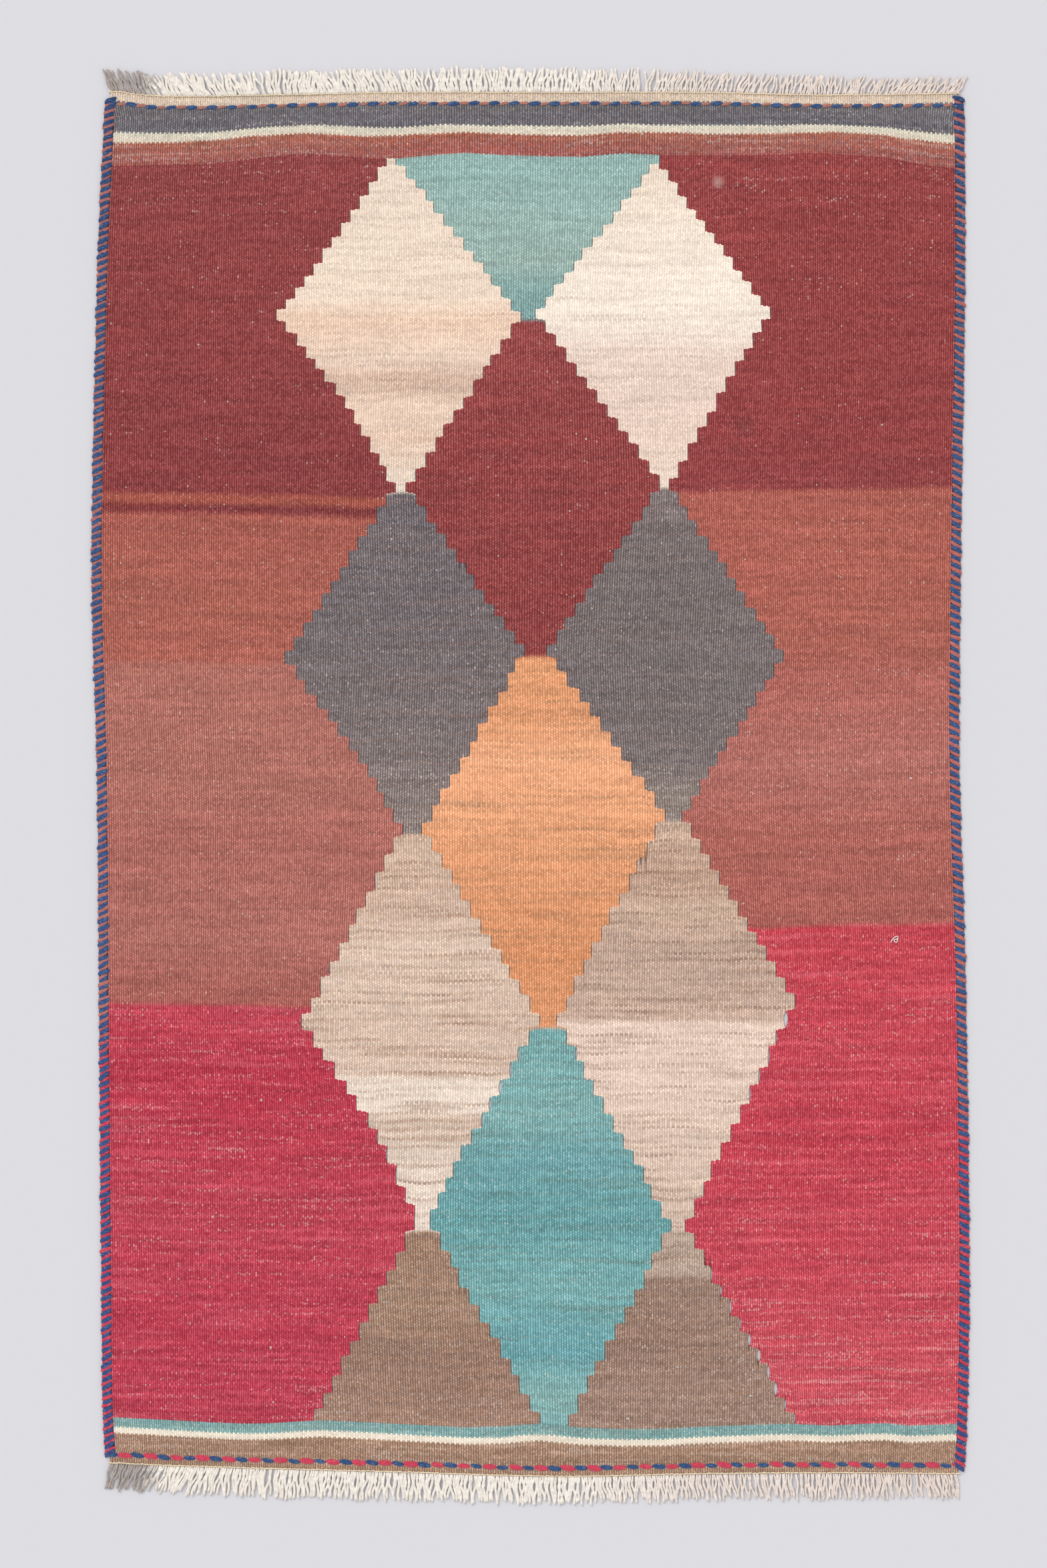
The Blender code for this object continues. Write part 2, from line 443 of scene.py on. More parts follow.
def clothPlaces(verts, slits):
    # puts each (warp, height) into space: spread, waved, parted at the slits, ribbed
    warp, height, side, top = verts.T
    across = acrossAt(warp, height)
    lift = np.zeros_like(across)
    reach = cloth["slitReach"]
    for place, cuts in slits.items():
        near = np.abs(warp - place) < reach
        for low, high, half in cuts:
            hit = np.where(near & (height > low) & (height < high))[0]
            away = warp[hit] - place
            sign = np.where(away == 0, side[hit], np.sign(away))
            bulge = np.sin(np.pi * (height[hit] - low) / (high - low)) ** 0.7
            fade = (1 - np.abs(away) / reach) ** 2
            across[hit] += sign * half * bulge * fade
            lift[hit] += cloth["slitRidge"] * bulge * np.exp(-np.abs(away) * 1.2)
    along = height + bent(across, height) + dipped(warp, height)
    inRib = np.abs(warp - np.round(warp)) > 0.1
    colourEdges = {step[0] for steps in lineSteps for step in steps}
    colourEdges = np.array(sorted(colourEdges | {chart["top"] * mm, chart["bottom"] * mm}))
    following = np.clip(np.searchsorted(colourEdges, height - levelGap), 0, len(colourEdges) - 1)
    onEdge = np.abs(colourEdges[following] - height) < levelGap
    parity = np.where(np.floor(warp) % 2 == 0, 1, -1)
    along += np.where(inRib & onEdge, parity * cloth["lineScallop"], 0)
    swell = (np.sin(across * 17 + along * 5) * np.sin(along * 13 - across * 3) + 1) / 2  # it lies unevenly
    rib = np.where(inRib, 0, -cloth["ribDeep"])
    up = clothThick + rib + lift * 0.8 - cloth["undulation"] * swell
    return np.column_stack([across, along, np.where(top > 0, up, 0)])


def makeCloth():
    verts, faces, zones, slits = clothMesh()
    places = clothPlaces(verts, slits)
    mesh = bpy.data.meshes.new("wovenCloth")
    mesh.from_pydata(places.tolist(), [], faces)
    mesh.polygons.foreach_set("material_index", zones)
    mesh.polygons.foreach_set("use_smooth", [True] * len(faces))
    chartMap = mesh.uv_layers.new(name="weave")  # u counts warps, v is the height in metres
    corner = np.zeros(len(mesh.loops), np.int32)
    mesh.loops.foreach_get("vertex_index", corner)
    chartMap.data.foreach_set("uv", verts[corner][:, :2].ravel())
    mesh.update()
    obj = newObject("wovenCloth", mesh)
    print("cloth:", len(faces), "faces,", sum(len(f) - 2 for f in faces), "triangles")
    return obj


# Colours down each stretch: height in mm, colour, and how much bare warp shows (0 to 1).
# Two rows half a millimetre apart are a clean change of yarn. The slope is a drop in mm from one place
# across to another. The streak is a colour, its share above and below a height, and that height.
# The heather is a colour and a share of fibres carded in. Bare warp shows less where middleWear is small.
hardStop = 0.05  # mm
wool = {
    "leftGround": {
        "rows": ((725, "#964A4A", 0.2), (640, "#954848", 0.06), (500, "#944646", 0.05),
                 (335, "#8F4344", 0.03), (334.5, "#A95F50", 0.05), (320, "#AA5F50", 0.05),
                 (319.5, "#8C4142", 0.05), (312, "#8C4142", 0.05), (311.5, "#AC6458", 0.04),
                 (215, "#AE695B", 0.04), (140, "#B16B5D", 0.05), (136, "#B2756A", 0.1),
                 (0, "#B2766B", 0.07), (-60, "#B17168", 0.07), (-180, "#B2746B", 0.04),
                 (-256, "#AD6860", 0.05), (-256.5, "#C1485A", 0.2), (-330, "#BA3A50", 0.3),
                 (-500, "#BD4558", 0.25), (-640, "#BB3F55", 0.12), (-737.5, "#BA4056", 0.3)),
        "slope": (6, -489, -150),
        "streak": ("#E27C8A", 0.08, 0.5, -256), "heather": ("#C96A66", 0.06),
    },
    "leftColumn": {
        "rows": ((725, "#EDDCCB", 0), (560, "#EFDCCA", 0), (535, "#ECCFB9", 0), (490, "#EBD4C2", 0),
                 (470, "#D8BBA8", 0.02), (455, "#DABFAC", 0.02), (435, "#EBD2BF", 0),
                 (400, "#E5CBB7", 0), (334, "#EBDDCD", 0), (333.5, "#746A6D", 0.04),
                 (180, "#776D6F", 0.06), (60, "#807473", 0.1), (0, "#8C7E79", 0.35),
                 (-60.5, "#8F827D", 0.4), (-61, "#D4BAA5", 0.04), (-140, "#D1B6A3", 0.04),
                 (-190, "#E0C9B7", 0.03), (-285, "#D9C1AF", 0.04), (-334, "#DEC7B6", 0.02),
                 (-338, "#EBDCCC", 0), (-376, "#EDDDCF", 0), (-380, "#D8C2B0", 0.04),
                 (-470, "#EADACC", 0.02), (-518, "#EADBCD", 0.02), (-518.5, "#A4846F", 0.3),
                 (-600, "#A78974", 0.3), (-660, "#9E7E6C", 0.12), (-737.5, "#A78775", 0.3)),
        "slope": (0, 0, 1),
        "streak": ("#A27A5E", 0.26, 0.66, -61), "heather": ("#A7A9B4", 0.22),
    },
    "centreColumn": {
        "rows": ((725, "#9AB8B4", 0.05), (600, "#A0B8B1", 0.04), (578, "#90AEAA", 0.03),
                 (532, "#80A3A3", 0.03), (531.5, "#9D4B4B", 0.03), (400, "#984546", 0.03),
                 (147, "#944344", 0.03), (146.5, "#E6A77B", 0.02), (80, "#DE9F75", 0.02),
                 (30, "#EFB28A", 0.02), (-60, "#E3A57C", 0.02), (-200, "#DA986D", 0.03),
                 (-281, "#E09F74", 0.02), (-281.5, "#7DAEAF", 0.12), (-380, "#88B3B3", 0.15),
                 (-430, "#77A9AD", 0.1), (-505, "#70A6A9", 0.08), (-580, "#80B1B2", 0.12),
                 (-655, "#70A7AD", 0.08), (-700, "#8DB6B4", 0.2), (-737.5, "#86B1B2", 0.2)),
        "slope": (0, 0, 1),
        "streak": ("#7D7A66", 0.06, 0.4, 146), "heather": ("#D5C9B8", 0.06),
    },
    "rightColumn": {
        "rows": ((725, "#EEDECC", 0), (560, "#F5E8DA", 0), (525, "#F4E6D9", 0), (495, "#ECD7C9", 0),
                 (450, "#E9D3C6", 0), (400, "#EDD6C7", 0), (339.5, "#EBD8C8", 0), (339, "#867876", 0.15),
                 (290, "#7E7271", 0.06), (120, "#7C7171", 0.06), (30, "#807473", 0.1),
                 (-5, "#95877F", 0.4), (-45, "#958882", 0.4), (-45.5, "#D6BBA7", 0.05),
                 (-105, "#C4A38F", 0.05), (-145, "#CFB4A0", 0.04), (-185, "#C4A998", 0.05),
                 (-272, "#CFB4A3", 0.05), (-272.5, "#E8D1C2", 0.02), (-340, "#E6CFC0", 0.04),
                 (-518, "#D7C0AF", 0.04), (-518.5, "#BCA797", 0.08), (-566, "#BEA999", 0.08),
                 (-567, "#A68A7A", 0.1), (-640, "#A18373", 0.2), (-737.5, "#A78B7B", 0.35)),
        "slope": (0, 0, 1),
        "streak": ("#8E6C54", 0.22, 0.62, -45), "heather": ("#A9A8B0", 0.2),
    },
    "rightGround": {
        "rows": ((725, "#994848", 0.2), (640, "#994747", 0.05), (400, "#994647", 0.03),
                 (342, "#964748", 0.03), (341.5, "#B0665A", 0.05), (220, "#B26A5C", 0.04),
                 (140, "#AE695C", 0.05), (134, "#B26C62", 0.1), (20, "#B7776E", 0.1),
                 (-60, "#B06B61", 0.08), (-163, "#AF6860", 0.05), (-163.5, "#C34655", 0.12),
                 (-300, "#C54A5A", 0.2), (-400, "#C04254", 0.12), (-560, "#C44A5B", 0.25),
                 (-650, "#C65260", 0.9), (-737.5, "#C85663", 0.9)),
        "slope": (-6, 150, 489),
        "streak": ("#EA808C", 0.08, 0.5, -163), "heather": ("#CE706C", 0.06),
        "spots": (  # place and radius in mm, colour, share
            (216, 694, 9, "#D9B4AC", 0.55),
            (246, 411, 17, "#5E3A36", 0.45),
            (236, 390, 10, "#6A4640", 0.3)),
    },
    "upperBands": {
        "rows": ((797, "#DDC9B5", 0.4), (786, "#DDC9B5", 0.4), (785.5, "#777072", 0.1),
                 (768, "#736B70", 0.2), (759.5, "#716A70", 0.7), (759, "#DCD6C3", 0.1),
                 (750, "#E3D5C2", 0.1), (749.5, "#B0684F", 1.2), (738, "#AC6355", 1.2),
                 (725.5, "#A95D54", 0.6), (725, "#A95D54", 0.3)),
        "slope": (0, 0, 1),
        "streak": ("#C8B49C", 0.1, 0.1, 800), "heather": ("#7F929E", 0.34), "middleWear": 0.3,
    },
    "lowerBands": {
        "rows": ((-737.5, "#7DA7A8", 0.3), (-749.5, "#84ABAA", 0.25), (-750, "#E9E1D2", 0),
                 (-757, "#E9DECF", 0), (-757.5, "#A4846F", 1.0), (-768, "#A38370", 0.8),
                 (-792, "#A58772", 0.8)),
        "slope": (0, 0, 1),
        "streak": ("#C8AE97", 0.1, 0.1, -700), "heather": ("#D9BFA8", 0.24),
    },
}
weaveLook = {
    "beadPitch": 3.0 * mm,  # from one bead of weft to the next on a rib, coarser than real so that it shows
    "fibreSize": 0.9 * mm,
    "topValue": 1.3,  # painted light on the ribs' crowns, and painted shade that deepens the valleys between them
    "valleyValue": 0.97,
    "valleyGamma": 1.6,
    "beadShade": 0.26,
    "mottle": 0.34,  # how far lightness swings from bead to bead, and by fibre, band and row
    "fibre": 0.3,
    "broadAbrash": 0.13,
    "rowShade": 0.28,
    "evenPale": 0.5,  # pale wool shows less of the painted light and shade
    "paleValue": 1.19,
    # painted highlight on the crowns of some beads: its share and its colour
    "pale": 0.06,
    "crownHighlightColour": "#F6EDE6",
    "bareWarp": "#FBEEE4",
    "bareMix": 0.45,  # how much of the wool's colour still lies over a bare warp
    "boundaryWander": 0.8 * mm,
    "bumpHigh": 0.35 * mm,
    # noise cells per metre, across the rug and along it
    "streakRate": (5.0, 260.0),  # streaks 200 mm long and 4 mm tall
    "bandRate": (3.0, 70.0),  # bands of dye 14 mm tall
    "rowRate": (14.0, 1.3),  # tones 70 mm long; the second rate is per row of beads
    "patchRate": (7.0, 34.0),  # thin places 140 by 30 mm
    "runRate": (10.0, 210.0),  # and the runs of bare warp in them, 100 by 5 mm
    "wanderRate": 9.0,
    "cardedRate": 620.0,  # carded fibre of another shade, 1.6 mm flecks
}


def woolMaterial(name, rows, slope, streak, heather, spots=(), middleWear=1.0):
    # hand-spun wool weft packed over cotton warps: matt, a little fuzzy, uneven from row to row
    look = weaveLook
    material, tree, shader = newMaterial(name)
    chartMap = addNode(tree, "ShaderNodeUVMap", uv_map="weave")
    chartPlace = addNode(tree, "ShaderNodeSeparateXYZ", {0: chartMap.outputs[0]})
    warp, height = chartPlace.outputs[0], chartPlace.outputs[1]
    place = addNode(tree, "ShaderNodeTexCoord").outputs["Object"]
    across = addNode(tree, "ShaderNodeSeparateXYZ", {0: place}).outputs[0]

    # one rib for each warp, one bead for each turn of weft over it, staggered from rib to rib
    rib = addNode(tree, "ShaderNodeMath", {0: warp}, operation="FLOOR")
    inRib = addNode(tree, "ShaderNodeMath", {0: warp, 1: rib}, operation="SUBTRACT")
    odd = addNode(tree, "ShaderNodeMath", {0: rib, 1: 2.0}, operation="MODULO")
    stagger = addNode(tree, "ShaderNodeMath", {0: odd, 1: 0.5}, operation="MULTIPLY")
    beadCount = addNode(tree, "ShaderNodeMath", {0: height, 1: look["beadPitch"]}, operation="DIVIDE")
    beadRun = addNode(tree, "ShaderNodeMath", {0: beadCount, 1: stagger}, operation="ADD")
    bead = addNode(tree, "ShaderNodeMath", {0: beadRun}, operation="FLOOR")
    inBead = addNode(tree, "ShaderNodeMath", {0: beadRun, 1: bead}, operation="SUBTRACT")
    beadMiddle = addNode(tree, "ShaderNodeMath", {0: bead, 1: 0.5}, operation="ADD")
    beadPlace = addNode(tree, "ShaderNodeMath", {0: beadMiddle, 1: stagger}, operation="SUBTRACT")
    beadHeight = addNode(tree, "ShaderNodeMath", {0: beadPlace, 1: look["beadPitch"]}, operation="MULTIPLY")
    ribSide = addNode(tree, "ShaderNodeMath", {0: inRib, 1: 2.0, 2: -1.0}, operation="MULTIPLY_ADD")
    offCrown = addNode(tree, "ShaderNodeMath", {0: ribSide}, operation="ABSOLUTE")
    valley = addNode(tree, "ShaderNodeMath", {0: offCrown, 1: 2.5}, operation="POWER")
    beadSide = addNode(tree, "ShaderNodeMath", {0: inBead, 1: 2.0, 2: -1.0}, operation="MULTIPLY_ADD")
    beadEnd = addNode(tree, "ShaderNodeMath", {0: beadSide}, operation="ABSOLUTE")

    # the colour follows whole beads, so a change of yarn is scalloped
    wanderAt = addNode(tree, "ShaderNodeCombineXYZ", {0: across, 1: height})
    wander = addNode(tree, "ShaderNodeTexNoise", {
        "Vector": wanderAt, "Scale": look["wanderRate"], "Detail": 2.0})
    far = look["boundaryWander"]
    shift = addNode(tree, "ShaderNodeMapRange", {0: wander, 1: 0.25, 2: 0.75, 3: -far, 4: far})
    drop, fromX, toX = (value * mm for value in slope)
    tilt = addNode(tree, "ShaderNodeMapRange", {0: across, 1: fromX, 2: toX, 3: -drop / 2, 4: drop / 2})
    shifted = addNode(tree, "ShaderNodeMath", {0: beadHeight, 1: shift}, operation="ADD")
    seen = addNode(tree, "ShaderNodeMath", {0: shifted, 1: tilt}, operation="ADD")
    highest, lowest = rows[0][0], rows[-1][0]
    down = addNode(tree, "ShaderNodeMapRange", {0: seen, 1: highest * mm, 2: lowest * mm})
    ramps = []
    for shows in ("colour", "bare warp"):
        ramp = addNode(tree, "ShaderNodeValToRGB", {0: down})
        stops = ramp.color_ramp.elements
        stops.remove(stops[1])
        for n, (level, hexColour, thinness) in enumerate(rows):
            if n and rows[n - 1][0] - level < 1:
                level = rows[n - 1][0] - hardStop  # a clean change of yarn
            stop = stops.new((highest - level) / (highest - lowest)) if n else stops[0]
            stop.color = linear(hexColour) if shows == "colour" else (thinness, thinness, thinness, 1)
        ramps.append(ramp)
    colour, bare = ramps[0].outputs[0], ramps[1].outputs[0]

    # noises drawn out along the weft: what each follows up the rug, its layer, detail and roughness
    noises = {}
    for noise, along, layer, detail, roughness in (
        ("streak", seen, 0.0, 3.0, 0.6), ("band", seen, 4.0, 2.0, 0.5), ("row", bead, 9.0, 1.0, 0.5),
        ("patch", height, 0.0, 1.0, 0.5), ("run", height, 0.0, 2.0, 0.5),
    ):
        acrossRate, alongRate = look[noise + "Rate"]
        noiseX = addNode(tree, "ShaderNodeMath", {0: across, 1: acrossRate}, operation="MULTIPLY")
        noiseY = addNode(tree, "ShaderNodeMath", {0: along, 1: alongRate}, operation="MULTIPLY")
        noiseAt = addNode(tree, "ShaderNodeCombineXYZ", {0: noiseX, 1: noiseY, 2: layer})
        noises[noise] = addNode(tree, "ShaderNodeTexNoise", {
            "Vector": noiseAt, "Scale": 1.0, "Detail": detail, "Roughness": roughness})

    # streaks of another dye, stronger below one height, and fibres of another shade carded in
    streakColour, streakAbove, streakBelow, streakHeight = streak
    below = addNode(tree, "ShaderNodeMath", {0: seen, 1: streakHeight * mm}, operation="LESS_THAN")
    amount = addNode(tree, "ShaderNodeMapRange", {0: below, 3: streakAbove, 4: streakBelow})
    streaks = addNode(tree, "ShaderNodeMapRange", {0: noises["streak"], 1: 0.5, 2: 0.7})
    streakShare = addNode(tree, "ShaderNodeMath", {0: streaks, 1: amount}, operation="MULTIPLY")
    colour = addNode(tree, "ShaderNodeMix", {0: streakShare, 6: colour, 7: linear(streakColour)},
                     data_type="RGBA").outputs[2]
    carded = addNode(tree, "ShaderNodeTexNoise", {
        "Vector": place, "Scale": look["cardedRate"], "Detail": 2.0, "Roughness": 0.7})
    cardedShare = addNode(tree, "ShaderNodeMapRange", {0: carded, 1: 0.5, 2: 0.72, 4: heather[1] * 2})
    colour = addNode(tree, "ShaderNodeMix", {0: cardedShare, 6: colour, 7: linear(heather[0])},
                     data_type="RGBA").outputs[2]

    # lightness: painted light on the rib's crown and painted shade in its valley, then swings by bead,
    # fibre, band and row
    cell = addNode(tree, "ShaderNodeCombineXYZ", {0: rib, 1: bead, 2: 1.0})
    chance = addNode(tree, "ShaderNodeTexWhiteNoise", {"Vector": cell},
                     noise_dimensions="3D").outputs["Value"]
    fibres = addNode(tree, "ShaderNodeTexNoise", {
        "Vector": place, "Scale": 1 / look["fibreSize"], "Detail": 3.0})
    value = addNode(tree, "ShaderNodeMapRange", {0: valley, 3: look["topValue"], 4: look["valleyValue"]})
    for source, low, high, amount in (
        (chance, 0.0, 1.0, "mottle"), (fibres, 0.3, 0.7, "fibre"),
        (noises["band"], 0.3, 0.7, "broadAbrash"), (noises["row"], 0.3, 0.7, "rowShade"),
    ):
        swing = look[amount] / 2
        spread = addNode(tree, "ShaderNodeMapRange", {
            0: source, 1: low, 2: high, 3: 1 - swing, 4: 1 + swing})
        value = addNode(tree, "ShaderNodeMath", {0: value, 1: spread}, operation="MULTIPLY")
    # painted shade where one bead meets the next
    beadTip = addNode(tree, "ShaderNodeMath", {0: beadEnd, 1: 3.0}, operation="POWER")
    tipShade = addNode(tree, "ShaderNodeMath", {0: beadTip, 1: look["beadShade"]}, operation="MULTIPLY")
    tipLight = addNode(tree, "ShaderNodeMath", {0: 1.0, 1: tipShade}, operation="SUBTRACT")
    value = addNode(tree, "ShaderNodeMath", {0: value, 1: tipLight}, operation="MULTIPLY")
    # pale wool takes less of this painted light and shade
    lightness = addNode(tree, "ShaderNodeRGBToBW", {0: colour})
    even = addNode(tree, "ShaderNodeMapRange", {0: lightness, 1: 0.3, 2: 0.75, 4: look["evenPale"]})
    value = addNode(tree, "ShaderNodeMix", {0: even, 2: value, 3: look["paleValue"]})
    # painted shade: colours deepen in the valleys between ribs
    deeper = addNode(tree, "ShaderNodeMapRange", {0: valley, 3: 1.0, 4: look["valleyGamma"]})
    colour = addNode(tree, "ShaderNodeGamma", {0: colour, 1: deeper})
    colour = addNode(tree, "ShaderNodeHueSaturation", {"Value": value, "Color": colour}).outputs[0]

    # painted highlight: the crowns of some beads are lit paler
    ribCrown = addNode(tree, "ShaderNodeMath", {0: 1.0, 1: valley}, operation="SUBTRACT")
    beadRound = addNode(tree, "ShaderNodeMath", {0: beadEnd, 1: 2.0}, operation="POWER")
    beadCrown = addNode(tree, "ShaderNodeMath", {0: 1.0, 1: beadRound}, operation="SUBTRACT")
    crown = addNode(tree, "ShaderNodeMath", {0: ribCrown, 1: beadCrown}, operation="MULTIPLY")
    few = addNode(tree, "ShaderNodeMath", {0: chance, 1: 1.5}, operation="POWER")
    crownLit = addNode(tree, "ShaderNodeMath", {0: crown, 1: few}, operation="MULTIPLY")
    crownHighlightShare = addNode(tree, "ShaderNodeMath", {0: crownLit, 1: look["pale"]}, operation="MULTIPLY")
    colour = addNode(tree, "ShaderNodeMix", {0: crownHighlightShare, 6: colour, 7: linear(look["crownHighlightColour"])},
                     data_type="RGBA").outputs[2]

    # bare cotton warp glints between the beads where the weft is thin
    patches = addNode(tree, "ShaderNodeMapRange", {0: noises["patch"], 1: 0.38, 2: 0.62, 3: 0.4, 4: 1.4})
    runs = addNode(tree, "ShaderNodeMapRange", {0: noises["run"], 1: 0.5, 2: 0.7, 4: 1.8})
    patchRuns = addNode(tree, "ShaderNodeMath", {0: patches, 1: runs}, operation="MULTIPLY")
    offMiddle = addNode(tree, "ShaderNodeMath", {0: across}, operation="ABSOLUTE")
    wear = addNode(tree, "ShaderNodeMapRange", {0: offMiddle, 1: 0.12, 2: 0.45, 3: middleWear, 4: 1.0})
    thin = addNode(tree, "ShaderNodeMath", {0: patchRuns, 1: wear}, operation="MULTIPLY")
    nextBead = addNode(tree, "ShaderNodeMath", {0: beadRun, 1: 0.5}, operation="ADD")
    boundary = addNode(tree, "ShaderNodeMath", {0: nextBead}, operation="FLOOR")
    gapCell = addNode(tree, "ShaderNodeCombineXYZ", {0: rib, 1: boundary, 2: 7.0})
    gap = addNode(tree, "ShaderNodeTexWhiteNoise", {"Vector": gapCell}, noise_dimensions="3D")
    odds = addNode(tree, "ShaderNodeMath", {0: bare, 1: thin}, operation="MULTIPLY")
    shown = addNode(tree, "ShaderNodeMath", {0: gap.outputs["Value"], 1: odds}, operation="LESS_THAN")
    offRib = addNode(tree, "ShaderNodeMath", {0: inRib, 1: 0.5}, operation="SUBTRACT")
    ribShare = addNode(tree, "ShaderNodeMath", {0: offRib, 1: 0.4}, operation="DIVIDE")
    narrow = addNode(tree, "ShaderNodeMath", {0: ribShare, 1: 2.0}, operation="POWER")
    offEnd = addNode(tree, "ShaderNodeMath", {0: 1.0, 1: beadEnd}, operation="SUBTRACT")
    endShare = addNode(tree, "ShaderNodeMath", {0: offEnd, 1: 0.9}, operation="DIVIDE")
    short = addNode(tree, "ShaderNodeMath", {0: endShare, 1: 2.0}, operation="POWER")
    gapDraw = addNode(tree, "ShaderNodeSeparateXYZ", {0: gap.outputs["Color"]}).outputs[1]
    bright = addNode(tree, "ShaderNodeMapRange", {0: gapDraw, 3: 0.2, 4: 0.8})
    oval = addNode(tree, "ShaderNodeMath", {0: narrow, 1: short}, operation="ADD")
    plyHighlight = addNode(tree, "ShaderNodeMapRange", {0: oval, 1: 1.15, 2: 0.4})
    brightShown = addNode(tree, "ShaderNodeMath", {0: shown, 1: bright}, operation="MULTIPLY")
    glint = addNode(tree, "ShaderNodeMath", {0: plyHighlight, 1: brightShown}, operation="MULTIPLY")
    warpSeen = addNode(tree, "ShaderNodeMix", {0: look["bareMix"], 6: linear(look["bareWarp"]), 7: colour},
                       data_type="RGBA").outputs[2]
    colour = addNode(tree, "ShaderNodeMix", {0: glint, 6: colour, 7: warpSeen}, data_type="RGBA").outputs[2]

    for x, y, radius, stain, strength in spots:
        away = addNode(tree, "ShaderNodeVectorMath", {0: place, 1: (x * mm, y * mm, clothThick)},
                       operation="DISTANCE").outputs["Value"]
        offMean = addNode(tree, "ShaderNodeMath", {0: fibres, 1: 0.5}, operation="SUBTRACT")
        ragged = addNode(tree, "ShaderNodeMath", {0: offMean, 1: radius * mm}, operation="MULTIPLY")
        soft = addNode(tree, "ShaderNodeMath", {0: away, 1: ragged}, operation="ADD")
        stained = addNode(tree, "ShaderNodeMapRange", {0: soft, 1: radius * mm, 2: 0.0, 4: strength})
        colour = addNode(tree, "ShaderNodeMix", {0: stained, 6: colour, 7: linear(stain)},
                         data_type="RGBA").outputs[2]

    # the yarn's round forms and its fibres, as relief
    beadRise = addNode(tree, "ShaderNodeMath", {0: 1.0, 1: beadTip}, operation="SUBTRACT")
    roundRise = addNode(tree, "ShaderNodeMath", {0: beadRise, 1: ribCrown}, operation="MULTIPLY")
    yarnRise = addNode(tree, "ShaderNodeMath", {0: roundRise, 1: 0.7}, operation="MULTIPLY")
    fibreRise = addNode(tree, "ShaderNodeMath", {0: fibres, 1: 0.5}, operation="MULTIPLY")
    rise = addNode(tree, "ShaderNodeMath", {0: yarnRise, 1: fibreRise}, operation="ADD")
    bump = addNode(tree, "ShaderNodeBump", {"Height": rise, "Strength": 0.8, "Distance": look["bumpHigh"]})
    tree.links.new(colour, shader.inputs["Base Color"])
    tree.links.new(bump.outputs[0], shader.inputs["Normal"])
    shader.inputs["Roughness"].default_value = 0.95
    shader.inputs["Specular IOR Level"].default_value = 0.2
    shader.inputs["Sheen Weight"].default_value = 0.12
    return material


yarnLook = {
    "colourWander": 30 * mm,  # how unevenly a change of colour falls along a cord or a fringe
    "hairSize": (0.35, 1.6, 1.0),  # hairs per thread's width along each axis
    # most share of painted highlight streaks along the plies
    "plyHighlightShare": 0.6,
    "contactShade": 0.66,  # painted shade: a strand is darker where it lies on the floor
    "contactBand": (0.2 * mm, 2.2 * mm),  # heights of the darkest and of no darkening
}


def yarnMaterial(name, colours, axis, places, thread, plyHighlight=None, contact=False):
    # plied yarn: soft, matt, its colour changing along one axis of the rug, with hairy relief, paler streaks
    # of painted highlight on top, and painted shade low down for strands on the floor
    material, tree, shader = newMaterial(name)
    place = addNode(tree, "ShaderNodeTexCoord").outputs["Object"]
    axes = addNode(tree, "ShaderNodeSeparateXYZ", {0: place})
    uneven = addNode(tree, "ShaderNodeTexNoise", {
        "Vector": place, "Scale": 1 / (2 * thread), "Detail": 3.0})
    wander = yarnLook["colourWander"]
    jitter = addNode(tree, "ShaderNodeMath", {0: uneven, 1: wander, 2: -wander / 2},
                     operation="MULTIPLY_ADD")
    at = addNode(tree, "ShaderNodeMath", {0: axes.outputs[axis], 1: jitter}, operation="ADD")
    share = addNode(tree, "ShaderNodeMapRange", {0: at, 1: places[0], 2: places[-1]})
    ramp = addNode(tree, "ShaderNodeValToRGB", {0: share})
    stops = ramp.color_ramp.elements
    stops.remove(stops[1])
    for n, (colour, spot) in enumerate(zip(colours, places)):
        stop = stops.new((spot - places[0]) / (places[-1] - places[0])) if n else stops[0]
        stop.color = linear(colour)
    hairScale = tuple(size / thread for size in yarnLook["hairSize"])
    hairAt = addNode(tree, "ShaderNodeMapping", {0: place, 3: hairScale})
    hairsAndPlyHighlights = addNode(tree, "ShaderNodeTexNoise", {"Vector": hairAt, "Scale": 1.0, "Detail": 2.0})
    # painted highlight: paler streaks where the hair noise is high
    most = yarnLook["plyHighlightShare"] if plyHighlight else 0.0
    plyHighlightShare = addNode(tree, "ShaderNodeMapRange", {0: hairsAndPlyHighlights, 1: 0.52, 2: 0.78, 4: most})
    plyHighlighted = addNode(tree, "ShaderNodeMix", {
        0: plyHighlightShare, 6: ramp.outputs[0], 7: linear(plyHighlight or "#FFFFFF")}, data_type="RGBA")
    speck = addNode(tree, "ShaderNodeMapRange", {0: uneven, 1: 0.3, 2: 0.7, 3: 0.84, 4: 1.12})
    # painted shade low down, where a strand lies on the floor
    darkest = yarnLook["contactShade"] if contact else 1.0
    lowest, highest = yarnLook["contactBand"]
    low = addNode(tree, "ShaderNodeMapRange", {0: axes.outputs[2], 1: lowest, 2: highest, 3: darkest})
    value = addNode(tree, "ShaderNodeMath", {0: speck, 1: low}, operation="MULTIPLY")
    shade = addNode(tree, "ShaderNodeHueSaturation", {"Value": value, "Color": plyHighlighted.outputs[2]})
    bump = addNode(tree, "ShaderNodeBump", {"Height": hairsAndPlyHighlights, "Strength": 0.4, "Distance": thread / 6})
    tree.links.new(shade.outputs[0], shader.inputs["Base Color"])
    tree.links.new(bump.outputs[0], shader.inputs["Normal"])
    shader.inputs["Roughness"].default_value = 0.9
    shader.inputs["Specular IOR Level"].default_value = 0.2
    shader.inputs["Sheen Weight"].default_value = 0.15
    return material


